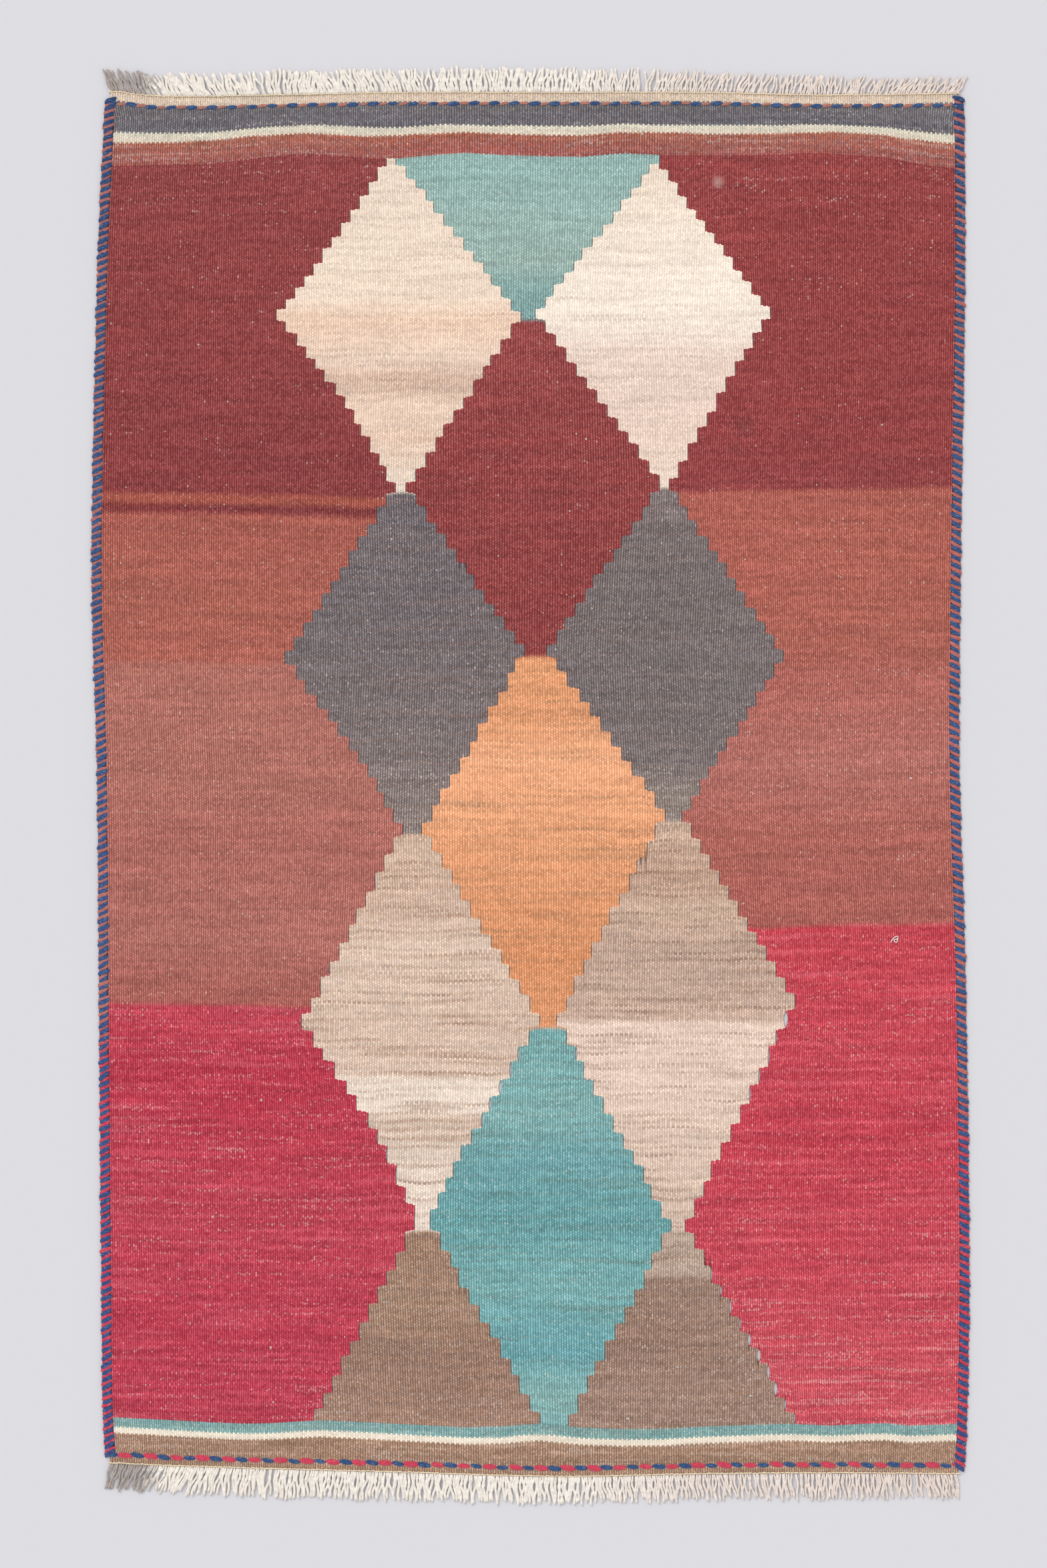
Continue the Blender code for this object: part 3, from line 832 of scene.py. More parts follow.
def tubeMesh(name, path, radii, sides=6, lobes=0.0, turns=0.0, flat=1.0):
    # a tube through a list of points, lightly lobed and turned like two plies, with closed rounded ends
    points = [Vector(p) for p in path]
    verts, faces = [], []
    count = len(points)
    for k, point in enumerate(points):
        ahead = (points[min(k + 1, count - 1)] - points[max(k - 1, 0)]).normalized()
        across = ahead.cross(Vector((0, 0, 1)))
        across = across.normalized() if across.length > 1e-6 else Vector((1, 0, 0))
        up = across.cross(ahead).normalized()
        for n in range(sides):
            angle = 2 * math.pi * n / sides
            size = radii[k] * (1 + lobes * math.cos(2 * (angle - turns * 2 * math.pi * k / (count - 1))))
            verts.append(point + across * math.cos(angle) * size + up * math.sin(angle) * size * flat)
    for k in range(count - 1):
        for n in range(sides):
            a, b = k * sides + n, k * sides + (n + 1) % sides
            faces.append((a, a + sides, b + sides, b))
    faces.append(tuple(range(sides)))
    faces.append(tuple((count - 1) * sides + n for n in range(sides - 1, -1, -1)))
    mesh = bpy.data.meshes.new(name)
    mesh.from_pydata([tuple(v) for v in verts], [], faces)
    mesh.polygons.foreach_set("use_smooth", [True] * len(faces))
    return mesh


def outwards(mesh):
    # turns a closed mesh's faces to point out
    volume = sum(Vector(mesh.vertices[t.vertices[0]].co).dot(
        Vector(mesh.vertices[t.vertices[1]].co).cross(Vector(mesh.vertices[t.vertices[2]].co)))
        for t in (mesh.calc_loop_triangles(), mesh.loop_triangles)[1])
    if volume < 0:
        mesh.flip_normals()
    return mesh


def pathMesh(name, points, **marks):
    # a line of points; each mark is a value per point that the growing tree reads by name
    mesh = bpy.data.meshes.new(name)
    mesh.from_pydata([tuple(p) for p in points], [(k, k + 1) for k in range(len(points) - 1)], [])
    for mark, values in marks.items():
        mesh.attributes.new(mark, "FLOAT", "POINT").data.foreach_set("value", values)
    return newObject(name, mesh)


def pliedForm(name, path, spreadBy, radius, plies, sides, turns=0.0):
    # several plies side by side along one path, fanned out in the middle and gathered at both ends
    verts, faces = [], []
    count = len(path)
    for n in range(plies):
        offset = n - (plies - 1) / 2
        line, radii = [], []
        for k, (x, y, z) in enumerate(path):
            swell = abs(math.sin(math.pi * k / (count - 1))) ** 0.5
            line.append((x, y + offset * spreadBy * swell, z - abs(offset) * radius * 0.25))
            radii.append(radius * (0.55 + 0.45 * swell))
        ply = outwards(tubeMesh(name, line, radii, sides=sides, lobes=0.08, turns=turns))
        base = len(verts)
        verts += [tuple(v.co) for v in ply.vertices]
        faces += [[base + k for k in p.vertices] for p in ply.polygons]
        bpy.data.meshes.remove(ply)
    mesh = bpy.data.meshes.new(name)
    mesh.from_pydata(verts, [], faces)
    mesh.polygons.foreach_set("use_smooth", [True] * len(faces))
    return bpy.data.objects.new(name, mesh)


def newTree(name, sockets):
    tree = bpy.data.node_groups.new(name, "GeometryNodeTree")
    tree.interface.new_socket("Geometry", in_out="INPUT", socket_type="NodeSocketGeometry")
    for label, kind in sockets:
        tree.interface.new_socket(label, in_out="INPUT", socket_type=kind)
    tree.interface.new_socket("Geometry", in_out="OUTPUT", socket_type="NodeSocketGeometry")
    return tree, addNode(tree, "NodeGroupInput"), addNode(tree, "NodeGroupOutput")


def grown(obj, tree, values):
    # runs the tree on obj with these inputs, and keeps the result as a plain mesh
    modifier = obj.modifiers.new("Repeat", "NODES")
    modifier.node_group = tree
    for item in tree.interface.items_tree:
        if item.item_type == "SOCKET" and item.in_out == "INPUT" and item.name in values:
            modifier[item.identifier] = values[item.name]
    bpy.context.view_layer.update()
    graph = bpy.context.evaluated_depsgraph_get()
    mesh = bpy.data.meshes.new_from_object(obj.evaluated_get(graph))
    obj.modifiers.remove(modifier)
    old = obj.data
    obj.data = mesh
    bpy.data.meshes.remove(old)
    mesh.name = obj.name
    mesh.calc_loop_triangles()
    print(obj.name + ":", len(mesh.loop_triangles), "triangles")
    return obj


def twoYarnTree(name):
    # sets two forms by turns along a path: so many of the first in every group, then the second
    tree, given, out = newTree(name, (
        ("Pitch", "NodeSocketFloat"), ("Group", "NodeSocketInt"), ("Of First", "NodeSocketInt"),
        ("First Form", "NodeSocketObject"), ("Second Form", "NodeSocketObject"),
        ("First Yarn", "NodeSocketMaterial"), ("Second Yarn", "NodeSocketMaterial"),
        ("Size Low", "NodeSocketFloat"), ("Size High", "NodeSocketFloat"), ("Turn", "NodeSocketFloat"),
        ("Stray", "NodeSocketFloat"), ("Seed", "NodeSocketInt"),
    ))
    curve = addNode(tree, "GeometryNodeMeshToCurve", {0: given.outputs["Geometry"]})
    points = addNode(tree, "GeometryNodeCurveToPoints", {
        "Curve": curve, "Length": given.outputs["Pitch"]}, mode="LENGTH")
    index = addNode(tree, "GeometryNodeInputIndex")
    turn = addNode(tree, "ShaderNodeMath", {0: index, 1: given.outputs["Group"]}, operation="MODULO")
    first = addNode(tree, "FunctionNodeCompare", {0: turn, 1: given.outputs["Of First"]},
                    data_type="FLOAT", operation="LESS_THAN")
    second = addNode(tree, "FunctionNodeBooleanMath", {0: first}, operation="NOT")
    tangent = points.outputs["Tangent"]
    facing = addNode(tree, "FunctionNodeAlignRotationToVector", {"Vector": tangent}, axis="Y")
    back = addNode(tree, "ShaderNodeMath", {0: given.outputs["Turn"], 1: -1.0}, operation="MULTIPLY")
    twist = addNode(tree, "FunctionNodeRandomValue", {
        2: back, 3: given.outputs["Turn"], "Seed": given.outputs["Seed"]})
    twistVector = addNode(tree, "ShaderNodeCombineXYZ", {2: twist.outputs[1]})
    twistBy = addNode(tree, "FunctionNodeEulerToRotation", {0: twistVector})
    twisted = addNode(tree, "FunctionNodeRotateRotation", {"Rotation": facing, "Rotate By": twistBy},
                      rotation_space="LOCAL")
    size = addNode(tree, "FunctionNodeRandomValue", {
        2: given.outputs["Size Low"], 3: given.outputs["Size High"], "Seed": 3})
    strayLow = addNode(tree, "ShaderNodeMath", {0: given.outputs["Stray"], 1: -1.0}, operation="MULTIPLY")
    strayX = addNode(tree, "FunctionNodeRandomValue", {2: strayLow, 3: given.outputs["Stray"], "Seed": 5})
    strayY = addNode(tree, "FunctionNodeRandomValue", {2: strayLow, 3: given.outputs["Stray"], "Seed": 9})
    offset = addNode(tree, "ShaderNodeCombineXYZ", {0: strayX.outputs[1], 1: strayY.outputs[1]})
    moved = addNode(tree, "GeometryNodeSetPosition", {"Geometry": points, "Offset": offset})
    joined = addNode(tree, "GeometryNodeJoinGeometry")
    for chosen, form, yarn in ((first, "First Form", "First Yarn"), (second, "Second Form", "Second Yarn")):
        shape = addNode(tree, "GeometryNodeObjectInfo", {0: given.outputs[form]})
        placed = addNode(tree, "GeometryNodeInstanceOnPoints", {
            "Points": moved, "Selection": chosen, "Instance": shape.outputs["Geometry"],
            "Rotation": twisted, "Scale": size.outputs[1]})
        real = addNode(tree, "GeometryNodeRealizeInstances", {0: placed})
        dyed = addNode(tree, "GeometryNodeSetMaterial", {0: real, "Material": given.outputs[yarn]})
        tree.links.new(dyed.outputs[0], joined.inputs[0])
    tree.links.new(joined.outputs[0], out.inputs[0])
    return tree


def strandTree(name):
    # sets strands of several forms along a path, leaning together in drifts, with some left out
    tree, given, out = newTree(name, (
        ("Count", "NodeSocketInt"), ("Forms", "NodeSocketCollection"), ("Yarn", "NodeSocketMaterial"),
        ("Size Low", "NodeSocketFloat"), ("Size High", "NodeSocketFloat"), ("Lean", "NodeSocketFloat"),
        ("Drift Scale", "NodeSocketFloat"), ("Stack", "NodeSocketFloat"), ("Stray", "NodeSocketFloat"),
        ("Bald", "NodeSocketFloat"), ("Seed", "NodeSocketInt"),
    ))
    curve = addNode(tree, "GeometryNodeMeshToCurve", {0: given.outputs["Geometry"]})
    points = addNode(tree, "GeometryNodeCurveToPoints", {
        "Curve": curve, "Count": given.outputs["Count"]}, mode="COUNT")
    strayLow = addNode(tree, "ShaderNodeMath", {0: given.outputs["Stray"], 1: -1.0}, operation="MULTIPLY")
    sideways = addNode(tree, "FunctionNodeRandomValue", {2: strayLow, 3: given.outputs["Stray"], "Seed": 4})
    stacked = addNode(tree, "FunctionNodeRandomValue", {2: 0.0, 3: given.outputs["Stack"], "Seed": 6})
    offset = addNode(tree, "ShaderNodeCombineXYZ", {0: sideways.outputs[1], 2: stacked.outputs[1]})
    moved = addNode(tree, "GeometryNodeSetPosition", {"Geometry": points, "Offset": offset})
    tangent = points.outputs["Tangent"]
    facing = addNode(tree, "FunctionNodeAlignRotationToVector", {"Vector": tangent}, axis="X")
    place = addNode(tree, "GeometryNodeInputPosition")
    drift = addNode(tree, "ShaderNodeTexNoise", {
        "Vector": place, "Scale": given.outputs["Drift Scale"], "Detail": 1.0})
    drifted = addNode(tree, "ShaderNodeMapRange", {0: drift.outputs[0], 1: 0.3, 2: 0.7, 3: -1.0, 4: 1.0})
    own = addNode(tree, "FunctionNodeRandomValue", {2: -0.5, 3: 0.5, "Seed": given.outputs["Seed"]})
    both = addNode(tree, "ShaderNodeMath", {0: drifted, 1: own.outputs[1]}, operation="ADD")
    marks = {mark: addNode(tree, "GeometryNodeInputNamedAttribute", {0: mark}, data_type="FLOAT")
             for mark in ("lean", "long", "thick")}
    lean = addNode(tree, "ShaderNodeMath", {0: both, 1: given.outputs["Lean"], 2: marks["lean"]},
                   operation="MULTIPLY_ADD")
    leanVector = addNode(tree, "ShaderNodeCombineXYZ", {2: lean})
    leanBy = addNode(tree, "FunctionNodeEulerToRotation", {0: leanVector})
    leaning = addNode(tree, "FunctionNodeRotateRotation", {"Rotation": facing, "Rotate By": leanBy},
                      rotation_space="LOCAL")
    size = addNode(tree, "FunctionNodeRandomValue", {
        2: given.outputs["Size Low"], 3: given.outputs["Size High"], "Seed": 2})
    long = addNode(tree, "ShaderNodeMath", {0: size.outputs[1], 1: marks["long"]}, operation="MULTIPLY")
    bulk = addNode(tree, "ShaderNodeCombineXYZ", {0: marks["thick"], 1: long, 2: marks["thick"]})
    forms = addNode(tree, "GeometryNodeCollectionInfo", {0: given.outputs["Forms"], 1: True, 2: True})
    pick = addNode(tree, "FunctionNodeRandomValue", {4: 0, 5: 30, "Seed": 8}, data_type="INT")
    keep = addNode(tree, "FunctionNodeRandomValue", {2: 0.0, 3: 1.0, "Seed": 12})
    kept = addNode(tree, "FunctionNodeCompare", {0: keep.outputs[1], 1: given.outputs["Bald"]},
                   data_type="FLOAT", operation="GREATER_THAN")
    placed = addNode(tree, "GeometryNodeInstanceOnPoints", {
        "Points": moved, "Selection": kept, "Instance": forms, "Pick Instance": True,
        "Instance Index": pick.outputs[2], "Rotation": leaning, "Scale": bulk})
    real = addNode(tree, "GeometryNodeRealizeInstances", {0: placed})
    dyed = addNode(tree, "GeometryNodeSetMaterial", {0: real, "Material": given.outputs["Yarn"]})
    tree.links.new(dyed.outputs[0], out.inputs[0])
    return tree


def scatterTree(name):
    # drops small forms here and there over a patch of floor area
    tree, given, out = newTree(name, (
        ("Density", "NodeSocketFloat"), ("Form", "NodeSocketObject"), ("Fibre", "NodeSocketMaterial"),
        ("Size Low", "NodeSocketFloat"), ("Size High", "NodeSocketFloat"), ("Seed", "NodeSocketInt"),
    ))
    points = addNode(tree, "GeometryNodeDistributePointsOnFaces", {
        "Mesh": given.outputs["Geometry"], "Density": given.outputs["Density"],
        "Seed": given.outputs["Seed"]})
    turn = addNode(tree, "FunctionNodeRandomValue", {2: 0.0, 3: 2 * math.pi, "Seed": 1})
    turnVector = addNode(tree, "ShaderNodeCombineXYZ", {2: turn.outputs[1]})
    turnBy = addNode(tree, "FunctionNodeEulerToRotation", {0: turnVector})
    size = addNode(tree, "FunctionNodeRandomValue", {
        2: given.outputs["Size Low"], 3: given.outputs["Size High"], "Seed": 2})
    shape = addNode(tree, "GeometryNodeObjectInfo", {0: given.outputs["Form"]})
    placed = addNode(tree, "GeometryNodeInstanceOnPoints", {
        "Points": points, "Instance": shape.outputs["Geometry"],
        "Rotation": turnBy, "Scale": size.outputs[1]})
    real = addNode(tree, "GeometryNodeRealizeInstances", {0: placed})
    dyed = addNode(tree, "GeometryNodeSetMaterial", {0: real, "Material": given.outputs["Fibre"]})
    tree.links.new(dyed.outputs[0], out.inputs[0])
    return tree


def formObject(name, mesh):
    # a form lives outside the scene, and is only repeated from
    return bpy.data.objects.new(name, outwards(mesh))


# Overcast side cords: bundles of three plies, blue and red by turns, round a dark core
sideCord = {
    "pitch": {"left": 4.25 * mm, "right": 4.8 * mm},  # from one bundle of yarn to the next
    "endGap": {"left": (12 * mm, 11 * mm), "right": (8 * mm, 6 * mm)},  # at the bottom and the top
    "plyRadius": 1.0 * mm,
    "blueFan": 1.75 * mm,
    "redFan": 1.5 * mm,
    "slant": 7.5 * mm,  # how far along the rug one turn climbs
    "coreHigh": 3.0 * mm,
    "topHigh": 4.9 * mm,
    "redLower": 0.7 * mm,  # the red turns sink between the blue ones
    "overlap": 0.3 * mm,  # onto the cloth
    "spare": 0.2 * mm,  # the turns reach this much further than the cord is wide
    "tuck": 0.5 * mm,  # and end this far below the cloth's face
    "thread": 1.4 * mm,
    "core": "#5A3E48",
    # the paler colours of the painted highlight streaks on the plies
    "bluePlyHighlight": "#9DB9D8",
    "redPlyHighlight": "#EBA69C",
    # colours from the bottom of the rug to its top, and the heights where they are
    "blue": ("#394C82", "#3B558B", "#365382", "#2B4371"),
    "blueHeights": (-0.8, -0.2, 0.5, 0.8),
    "red": {"left": ("#D9405C", "#D4405A", "#BF766B", "#B56C66"),
            "right": ("#D53F58", "#D4415A", "#C56E65", "#BD6C66")},
    "redHeights": {"left": (-0.8, -0.32, -0.26, 0.8), "right": (-0.8, -0.42, -0.34, 0.8)},
}


def bundleForm(name, side, fan, lower):
    # one turn of the overcasting: up from under the outer edge, over the cord, and down into the cloth
    wide = cordWide + sideCord["spare"]
    path = []
    rings = 8
    for k in range(rings):
        share = k / (rings - 1)
        angle = math.pi * share
        foot = sideCord["plyRadius"] if share < 0.5 else clothThick - sideCord["tuck"]
        top = sideCord["topHigh"] - sideCord["plyRadius"] - lower
        z = foot + (top - foot) * math.sin(angle) ** 0.7
        path.append((-side * math.cos(angle) * wide / 2, sideCord["slant"] * (share - 0.5), z))
    return pliedForm(name, path, fan, sideCord["plyRadius"], plies=3, sides=5)


def makeSideCord(name, edge, side, stitchTree, core, blue, red):
    low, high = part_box("selvedge_" + edge)
    heights = np.linspace(low.y + sideCord["endGap"][edge][0], high.y - sideCord["endGap"][edge][1], 60)
    middle = edgeAt(edge, heights) - side * (cordWide / 2 - sideCord["overlap"])
    path = pathMesh(name, np.column_stack([middle, heights, np.zeros_like(heights)]))
    stitches = grown(path, stitchTree, {
        "Pitch": sideCord["pitch"][edge], "Group": 2, "Of First": 1,
        "First Form": bundleForm(name + "Blue", side, sideCord["blueFan"], 0),
        "Second Form": bundleForm(name + "Red", side, sideCord["redFan"], sideCord["redLower"]),
        "First Yarn": blue, "Second Yarn": red,
        "Size Low": 0.88, "Size High": 1.08, "Turn": 0.18, "Stray": 0.5 * mm, "Seed": 3 + side})
    heart = [(x, y, sideCord["coreHigh"] / 2) for x, y in zip(middle, heights)]
    tube = tubeMesh(name + "Core", heart, [cordWide * 0.45] * len(heart), sides=10,
                    flat=sideCord["coreHigh"] / cordWide)
    tube.materials.append(core)
    coreObject = newObject(name + "Core", outwards(tube))
    return joined(name, [stitches, coreObject])


# Twined rows: two yarns by turns across each end of the cloth
twined = {
    # each yarn's float by length, fan and ply radius in mm; the rise is how far a float climbs, mm
    "upper": {"height": 0.7848, "pitch": 11.5 * mm, "rise": 1.2,
              "first": (13.5, 1.35, 0.95), "second": (12.0, 0.95, 0.75)},
    "lower": {"height": -0.7822, "pitch": 14.9 * mm, "rise": -1.4,
              "first": (15.0, 1.6, 1.1), "second": (17.0, 1.9, 1.25)},
    "proud": 0.25 * mm,  # of the cloth's face
    "thread": 1.4 * mm,
    # each yarn's colour, and the paler colour of its painted highlight streaks
    "blue": "#355080",
    "bluePlyHighlight": "#8FB2CF",
    "rust": "#B4776A",
    "rustPlyHighlight": "#D9A79A",
    "red": "#D3435C",
    "redPlyHighlight": "#EE8A98",
}


def dashForm(name, long, fan, radius, rise):
    # the float of a twined yarn, all in mm: plies that swell in the middle and dive at both ends
    path = []
    rings = 9
    for k in range(rings):
        share = k / (rings - 1)
        swell = abs(math.sin(math.pi * share)) ** 0.6
        path.append(((share - 0.5) * long * mm, (share - 0.5) * rise * mm, (1.15 * swell - 0.75) * mm))
    form = pliedForm(name, path, fan * mm, radius * mm, plies=3, sides=6)
    for vertex in form.data.vertices:
        vertex.co = (-vertex.co.y, vertex.co.x, vertex.co.z)
    return form


def alongEnd(height, lowX, highX, count, up):
    across = np.linspace(lowX, highX, count)
    level = np.full_like(across, height)
    return np.column_stack([across, level + bent(across, level), np.full_like(across, up)])


def makeTwined(name, spec, tree, first, second):
    left = edgeAt("left", spec["height"]) - cordWide * 0.4
    right = edgeAt("right", spec["height"]) + cordWide * 0.4
    path = pathMesh(name, alongEnd(spec["height"], left, right, 80, clothThick + twined["proud"]))
    forms = {key: dashForm(name + key, *spec[key], spec["rise"]) for key in ("first", "second")}
    return grown(path, tree, {
        "Pitch": spec["pitch"], "Group": 2, "Of First": 1,
        "First Form": forms["first"], "Second Form": forms["second"],
        "First Yarn": first, "Second Yarn": second,
        "Size Low": 0.85, "Size High": 1.1, "Turn": 0.1, "Stray": 0.5 * mm, "Seed": 21})


# Fringes of cut warp ends, and the chained cotton edge that they leave from
fringe = {
    "strandRadius": 1.5 * mm,
    "rootSize": 0.75,
    "tipSize": 0.6,
    "rings": 12,
    "forms": 16,  # different strands
    "long": 27 * mm,
    "gap": 0.6 * mm,  # from the weave's end
    "lift": 0.15 * mm,
    "stack": 1.6 * mm,  # strands lie on each other up to this high
    "stray": 0.7 * mm,
    "curl": 2.9 * mm,  # how far a strand strays from straight
    "chainPitch": 5.3 * mm,
    "chainRadius": 0.8 * mm,
    "chain": "#F6E3C4",
    "cotton": ("#B0A49E", "#B8ADA6", "#F8F0E6", "#FAF2E9", "#F2E5DC", "#EEDFD6"),
    "cottonPlaces": (-0.5, -0.447, -0.425, 0.05, 0.2, 0.5),  # metres across: grey at the left, then cream
    # rows: place across in mm, lean in degrees to the right, length, thickness
    "upper": {"count": 400, "wild": 0.13, "drift": 34.0, "bald": 0.06, "seed": 4, "rows": (
        (-500, -30, 1.02, 0.8), (-425, -30, 1.02, 0.82), (-405, -30, 1.02, 0.98), (-315, -25, 1.0, 1.0),
        (-285, -3, 1.0, 1.0), (-240, -14, 1.0, 1.0), (-150, -20, 1.0, 1.0), (-100, -6, 1.02, 1.0),
        (40, 4, 0.98, 1.0), (90, -4, 0.95, 0.9), (150, 12, 0.9, 0.8), (260, 20, 0.85, 0.78),
        (330, 8, 0.82, 0.78), (400, 30, 0.8, 0.76), (500, 36, 0.8, 0.76))},
    "lower": {"count": 385, "wild": 0.1, "drift": 30.0, "bald": 0.02, "seed": 9, "rows": (
        (-500, -16, 1.12, 0.8), (-425, -20, 1.12, 0.82), (-405, -20, 1.15, 0.98),
        (-330, -12, 1.15, 1.0), (-200, -3, 1.15, 1.0), (0, 0, 1.1, 1.0),
        (140, 2, 1.05, 0.95), (200, 4, 1.05, 0.85), (350, 2, 1.05, 0.82), (500, 12, 1.0, 0.82))},
}


def strandForms(name, outward):
    # strands of many forms: each leaves the edge straight, wanders, and ends lying on the floor
    group = bpy.data.collections.new(name)
    draw = random.Random(31)
    for n in range(fringe["forms"]):
        long = fringe["long"] * draw.uniform(0.93, 1.06)
        swing, second = draw.uniform(-1, 1), draw.choice((-1, 1)) * draw.uniform(0.3, 1)
        hook = draw.choice((0, 0, 0, 1)) * draw.uniform(-2.5, 2.5)
        phase = draw.uniform(-0.6, 0.6)
        path, radii = [], []
        for k in range(fringe["rings"]):
            share = k / (fringe["rings"] - 1)
            sway = 0.8 * second * math.sin(share * 5.6 + phase) * min(1, share * 3)
            x = fringe["curl"] * (0.65 * swing * share ** 1.5 + sway) + hook * mm * share ** 4
            lift = 0.9 * mm * math.sin(math.pi * min(1, share * 1.4)) ** 2 * (1 - share)
            reach = outward * long * share * (1 - 0.05 * abs(hook) * share)
            path.append((x, reach, fringe["strandRadius"] + lift))
            radii.append(fringe["strandRadius"])
        radii[0] *= fringe["rootSize"]
        radii[-1] *= fringe["tipSize"]
        mesh = tubeMesh(name, path, radii, sides=8, lobes=0.14, turns=2.6, flat=0.92)
        group.objects.link(formObject(name + str(n), mesh))
    return group


def makeFringe(name, which, outward, height, tree, yarn):
    spec = fringe[which]
    left = edgeAt("left", height) - cloth["flareLeft"] + fringe["strandRadius"]
    right = edgeAt("right", height) + cloth["flareRight"] - fringe["strandRadius"]
    line = alongEnd(height + outward * fringe["gap"], left, right, 90, fringe["lift"])
    places = column(spec["rows"], 0) * mm
    lean, long, thick = (np.interp(line[:, 0], places, column(spec["rows"], k)) for k in (1, 2, 3))
    path = pathMesh(name, line, lean=-outward * np.radians(lean), long=long, thick=thick)
    return grown(path, tree, {
        "Count": spec["count"], "Forms": strandForms(name + "Forms", outward), "Yarn": yarn,
        "Size Low": 0.9, "Size High": 1.1, "Lean": spec["wild"], "Drift Scale": spec["drift"],
        "Stack": fringe["stack"], "Stray": fringe["stray"], "Bald": spec["bald"], "Seed": spec["seed"]})


def linkForm(name):
    # one loop of the chain that locks the last weft: a shallow bow between two strands
    path, radii = [], []
    for k in range(6):
        share = k / 5
        bow = math.sin(math.pi * share)
        path.append((-0.7 * mm * bow, (share - 0.5) * fringe["chainPitch"] * 1.12, 0.6 * mm * bow))
        radii.append(fringe["chainRadius"] * (0.7 + 0.3 * bow))
    return tubeMesh(name, path, radii, sides=6, lobes=0.1, turns=1)


def makeChain(name, height, tree, cotton):
    left = edgeAt("left", height) - cloth["flareLeft"]
    right = edgeAt("right", height) + cloth["flareRight"]
    path = pathMesh(name, alongEnd(height, left, right, 90, clothThick - 0.3 * mm))
    form = formObject(name + "Form", linkForm(name))
    return grown(path, tree, {
        "Pitch": fringe["chainPitch"], "Group": 2, "Of First": 1, "First Form": form, "Second Form": form,
        "First Yarn": cotton, "Second Yarn": cotton, "Size Low": 0.92, "Size High": 1.1, "Turn": 0.08,
        "Stray": 0.2 * mm, "Seed": 2})


# Lint and one stray thread on the cloth
lint = {
    "fibre": "#F7F1EA",
    "density": 42,  # per square metre
    "low": 0.6,
    "high": 1.5,
    "fibreRadius": 0.3 * mm,
    "margin": 30 * mm,
    "loop": (419, -179),  # where a stray thread lies, mm
    "loopRadius": 0.55 * mm,
    "loopBends": ((-4.2, -3.2), (-3.2, -1), (-1.2, 1.6), (1, 3.4), (3, 4.2), (4.2, 3.2), (3.9, 1),
                  (3.2, -1.4), (2.2, -3.2), (0.6, -2.6), (-0.6, -0.8), (0.2, 0.4), (2, 0.6), (3.4, 1.4)),
}


def makeLint(name, tree, fibre):
    low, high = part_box("woven_cloth")
    edge = lint["margin"]
    corners = [(low.x + edge, low.y + edge), (high.x - edge, low.y + edge),
               (high.x - edge, high.y - edge), (low.x + edge, high.y - edge)]
    mesh = bpy.data.meshes.new(name)
    mesh.from_pydata([(x, y, clothThick + 0.1 * mm) for x, y in corners], [], [(0, 1, 2, 3)])
    patch = newObject(name, mesh)
    curl = [  # a fibre curled up on itself
        (0.9 * mm * math.cos(k * 1.1) * (1 - k / 11), 0.9 * mm * math.sin(k * 0.9), 0.15 * mm * (k % 3))
        for k in range(7)
    ]
    form = formObject(name + "Form", tubeMesh(name + "Form", curl, [lint["fibreRadius"]] * 7, sides=5))
    scattered = grown(patch, tree, {"Density": lint["density"], "Form": form, "Fibre": fibre,
                                    "Size Low": lint["low"], "Size High": lint["high"], "Seed": 14})
    x, y = lint["loop"]
    bends = enumerate(lint["loopBends"])
    loop = [((x + a) * mm, (y + b) * mm, clothThick + (0.5 + 0.06 * k) * mm) for k, (a, b) in bends]
    tube = tubeMesh("strayThread", loop, [lint["loopRadius"]] * len(loop), sides=6)
    tube.materials.append(fibre)
    return joined(name, [scattered, newObject("strayThread", outwards(tube))])


clothObject = makeCloth()
for zone in zoneNames:
    clothObject.data.materials.append(woolMaterial("Hand Spun Wool " + zone, **wool[zone]))
print("cloth made")

blueWool = yarnMaterial("Blue Overcast Wool", sideCord["blue"], 1, sideCord["blueHeights"],
                        sideCord["thread"], plyHighlight=sideCord["bluePlyHighlight"])
redLeft, redRight = (
    yarnMaterial("Red Overcast Wool " + side.title(), sideCord["red"][side], 1, sideCord["redHeights"][side],
                 sideCord["thread"], plyHighlight=sideCord["redPlyHighlight"])
    for side in ("left", "right"))
coreWool = yarnMaterial("Dark Core Wool", (sideCord["core"],) * 2, 1, (-0.8, 0.8), 2 * mm)
blueTwine, rustTwine, redTwine = (
    yarnMaterial(key.title() + " Twining Wool", (twined[key],) * 2, 0, (-0.5, 0.5), twined["thread"],
                 plyHighlight=twined[key + "PlyHighlight"])
    for key in ("blue", "rust", "red"))
cotton = yarnMaterial("Plied Cotton Warp", fringe["cotton"], 0, fringe["cottonPlaces"], 2.2 * mm,
                      contact=True)
chainCotton = yarnMaterial("Chained Cotton", (fringe["chain"],) * 2, 0, (-0.5, 0.5), 1.2 * mm)
lintFibre = yarnMaterial("White Lint", (lint["fibre"],) * 2, 0, (-0.5, 0.5), 0.6 * mm)
print("yarns made")

twoYarns = twoYarnTree("TwoYarns")
leftCord = makeSideCord("sideCordLeft", "left", 1, twoYarns, coreWool, blueWool, redLeft)
rightCord = makeSideCord("sideCordRight", "right", -1, twoYarns, coreWool, blueWool, redRight)
upperTwine = makeTwined("twinedRowUpper", twined["upper"], twoYarns, blueTwine, rustTwine)
lowerTwine = makeTwined("twinedRowLower", twined["lower"], twoYarns, blueTwine, redTwine)
upperChain = makeChain("chainUpper", topEdge, twoYarns, chainCotton)
lowerChain = makeChain("chainLower", bottomEdge, twoYarns, chainCotton)
print("cords, twined rows and chains made")

strands = strandTree("Strands")
upperFringe = makeFringe("fringeUpper", "upper", 1, topEdge, strands, cotton)
lowerFringe = makeFringe("fringeLower", "lower", -1, bottomEdge, strands, cotton)
lintPiece = makeLint("lint", scatterTree("Scatter"), lintFibre)
print("fringes and lint made")


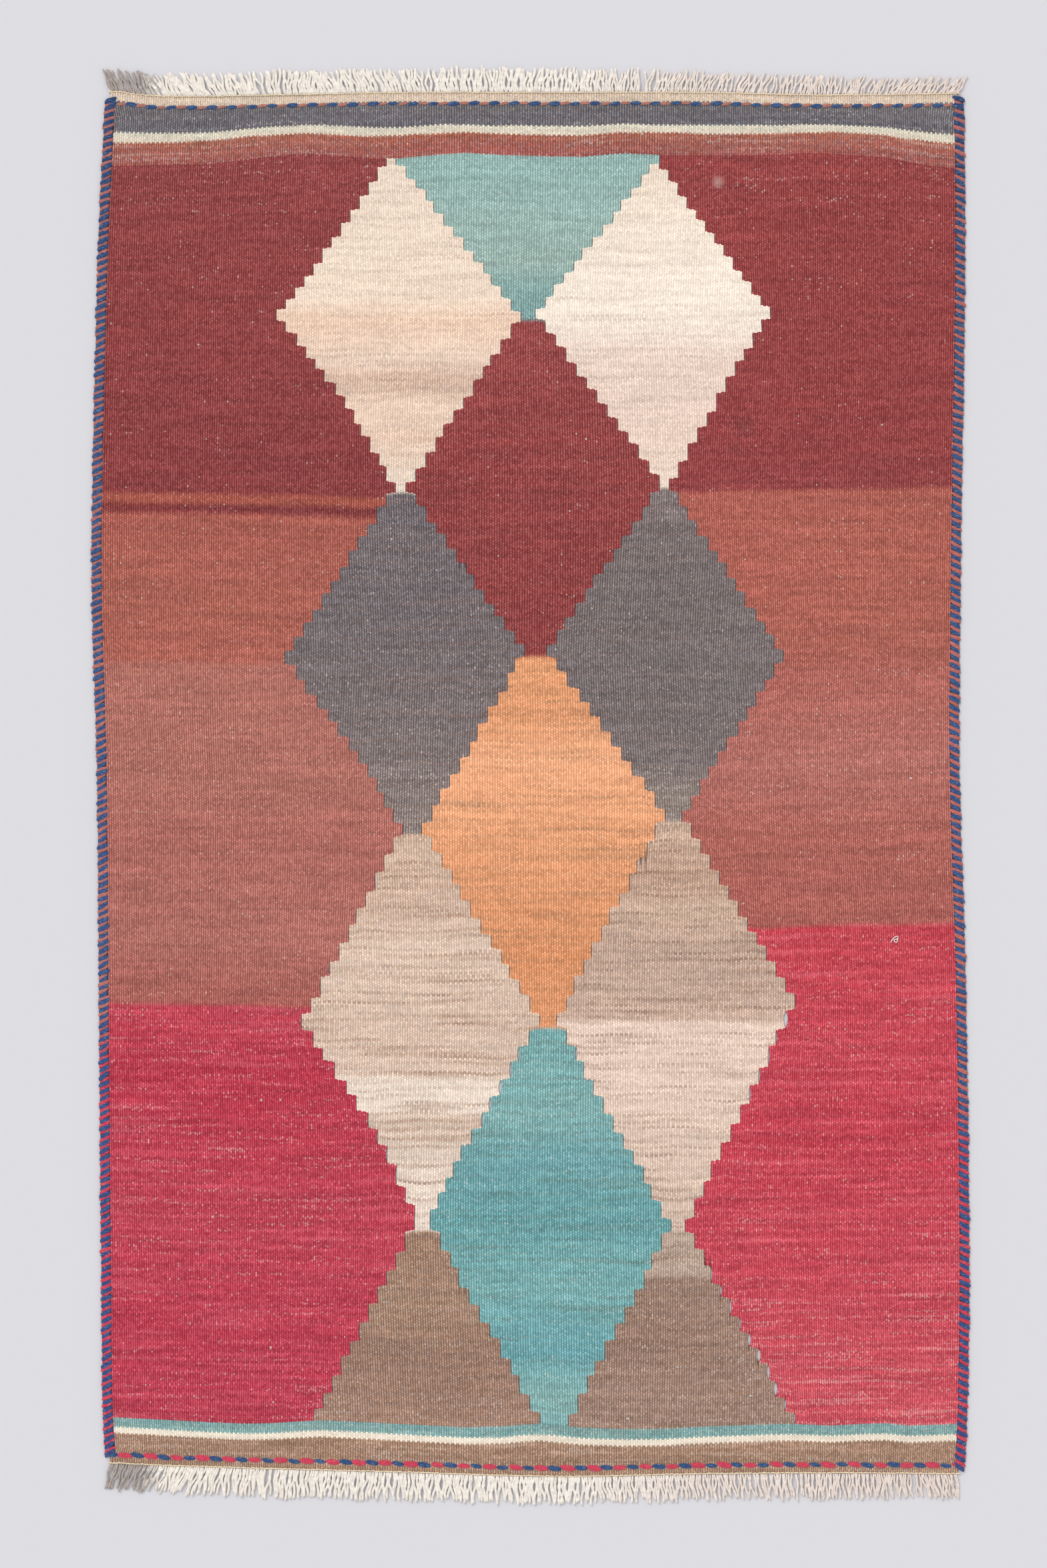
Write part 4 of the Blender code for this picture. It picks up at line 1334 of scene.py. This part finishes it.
# Floor, light and camera; lengths in metres, angles in degrees
studio = {
    "frameWide": 1.2058,  # what the camera takes in across, at the cloth's height
    "frameShape": (1568, 2349),  # width to height
    "eyeHigh": 3.6,
    "aim": (-0.0081, 0.0004),
    "floor": "#DFDEE3",
    "sky": 0.765,
    "sun": 0.95,
    "sunAngle": 24,
    "sunTurn": (-32, -30, 0),
    "floorHalf": 6,
}


def makeStudio():
    scene = bpy.context.scene
    scene.view_settings.view_transform = "Standard"
    mesh = bpy.data.meshes.new("floor")
    half = studio["floorHalf"]
    corners = [(-half, -half, 0), (half, -half, 0), (half, half, 0), (-half, half, 0)]
    mesh.from_pydata(corners, [], [(0, 1, 2, 3)])
    floor = newObject("floor", mesh)
    paper, _, shader = newMaterial("Pale Studio Paper")  # matt, no sheen
    shader.inputs["Base Color"].default_value = linear(studio["floor"])
    shader.inputs["Roughness"].default_value = 0.9
    mesh.materials.append(paper)
    world = scene.world or bpy.data.worlds.new("Studio")
    scene.world = world
    world.use_nodes = True
    sky = world.node_tree.nodes["Background"]
    sky.inputs["Color"].default_value = (1, 1, 1, 1)
    sky.inputs["Strength"].default_value = studio["sky"]
    light = bpy.data.lights.new("Softbox", "SUN")
    light.energy = studio["sun"]
    light.angle = math.radians(studio["sunAngle"])
    lamp = newObject("Softbox", light)
    lamp.rotation_euler = [math.radians(turn) for turn in studio["sunTurn"]]
    camera = bpy.data.cameras.new("Camera")
    width, height = studio["frameShape"]
    camera.sensor_width = 36
    camera.lens = camera.sensor_width * studio["eyeHigh"] / (studio["frameWide"] * height / width)
    eye = newObject("Camera", camera)
    eye.location = (*studio["aim"], studio["eyeHigh"] + clothThick)
    scene.camera = eye


makeStudio()
print("studio made")


# What rides on the root, and the CAD pieces that are hidden
trims = [
    leftCord, rightCord, upperTwine, lowerTwine, upperChain, lowerChain, upperFringe, lowerFringe, lintPiece,
]
for piece in [clothObject] + trims:
    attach(piece, "root")
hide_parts("woven_cloth")
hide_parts("selvedge_left")
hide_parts("selvedge_right")
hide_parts("fringe_top")
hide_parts("fringe_bottom")
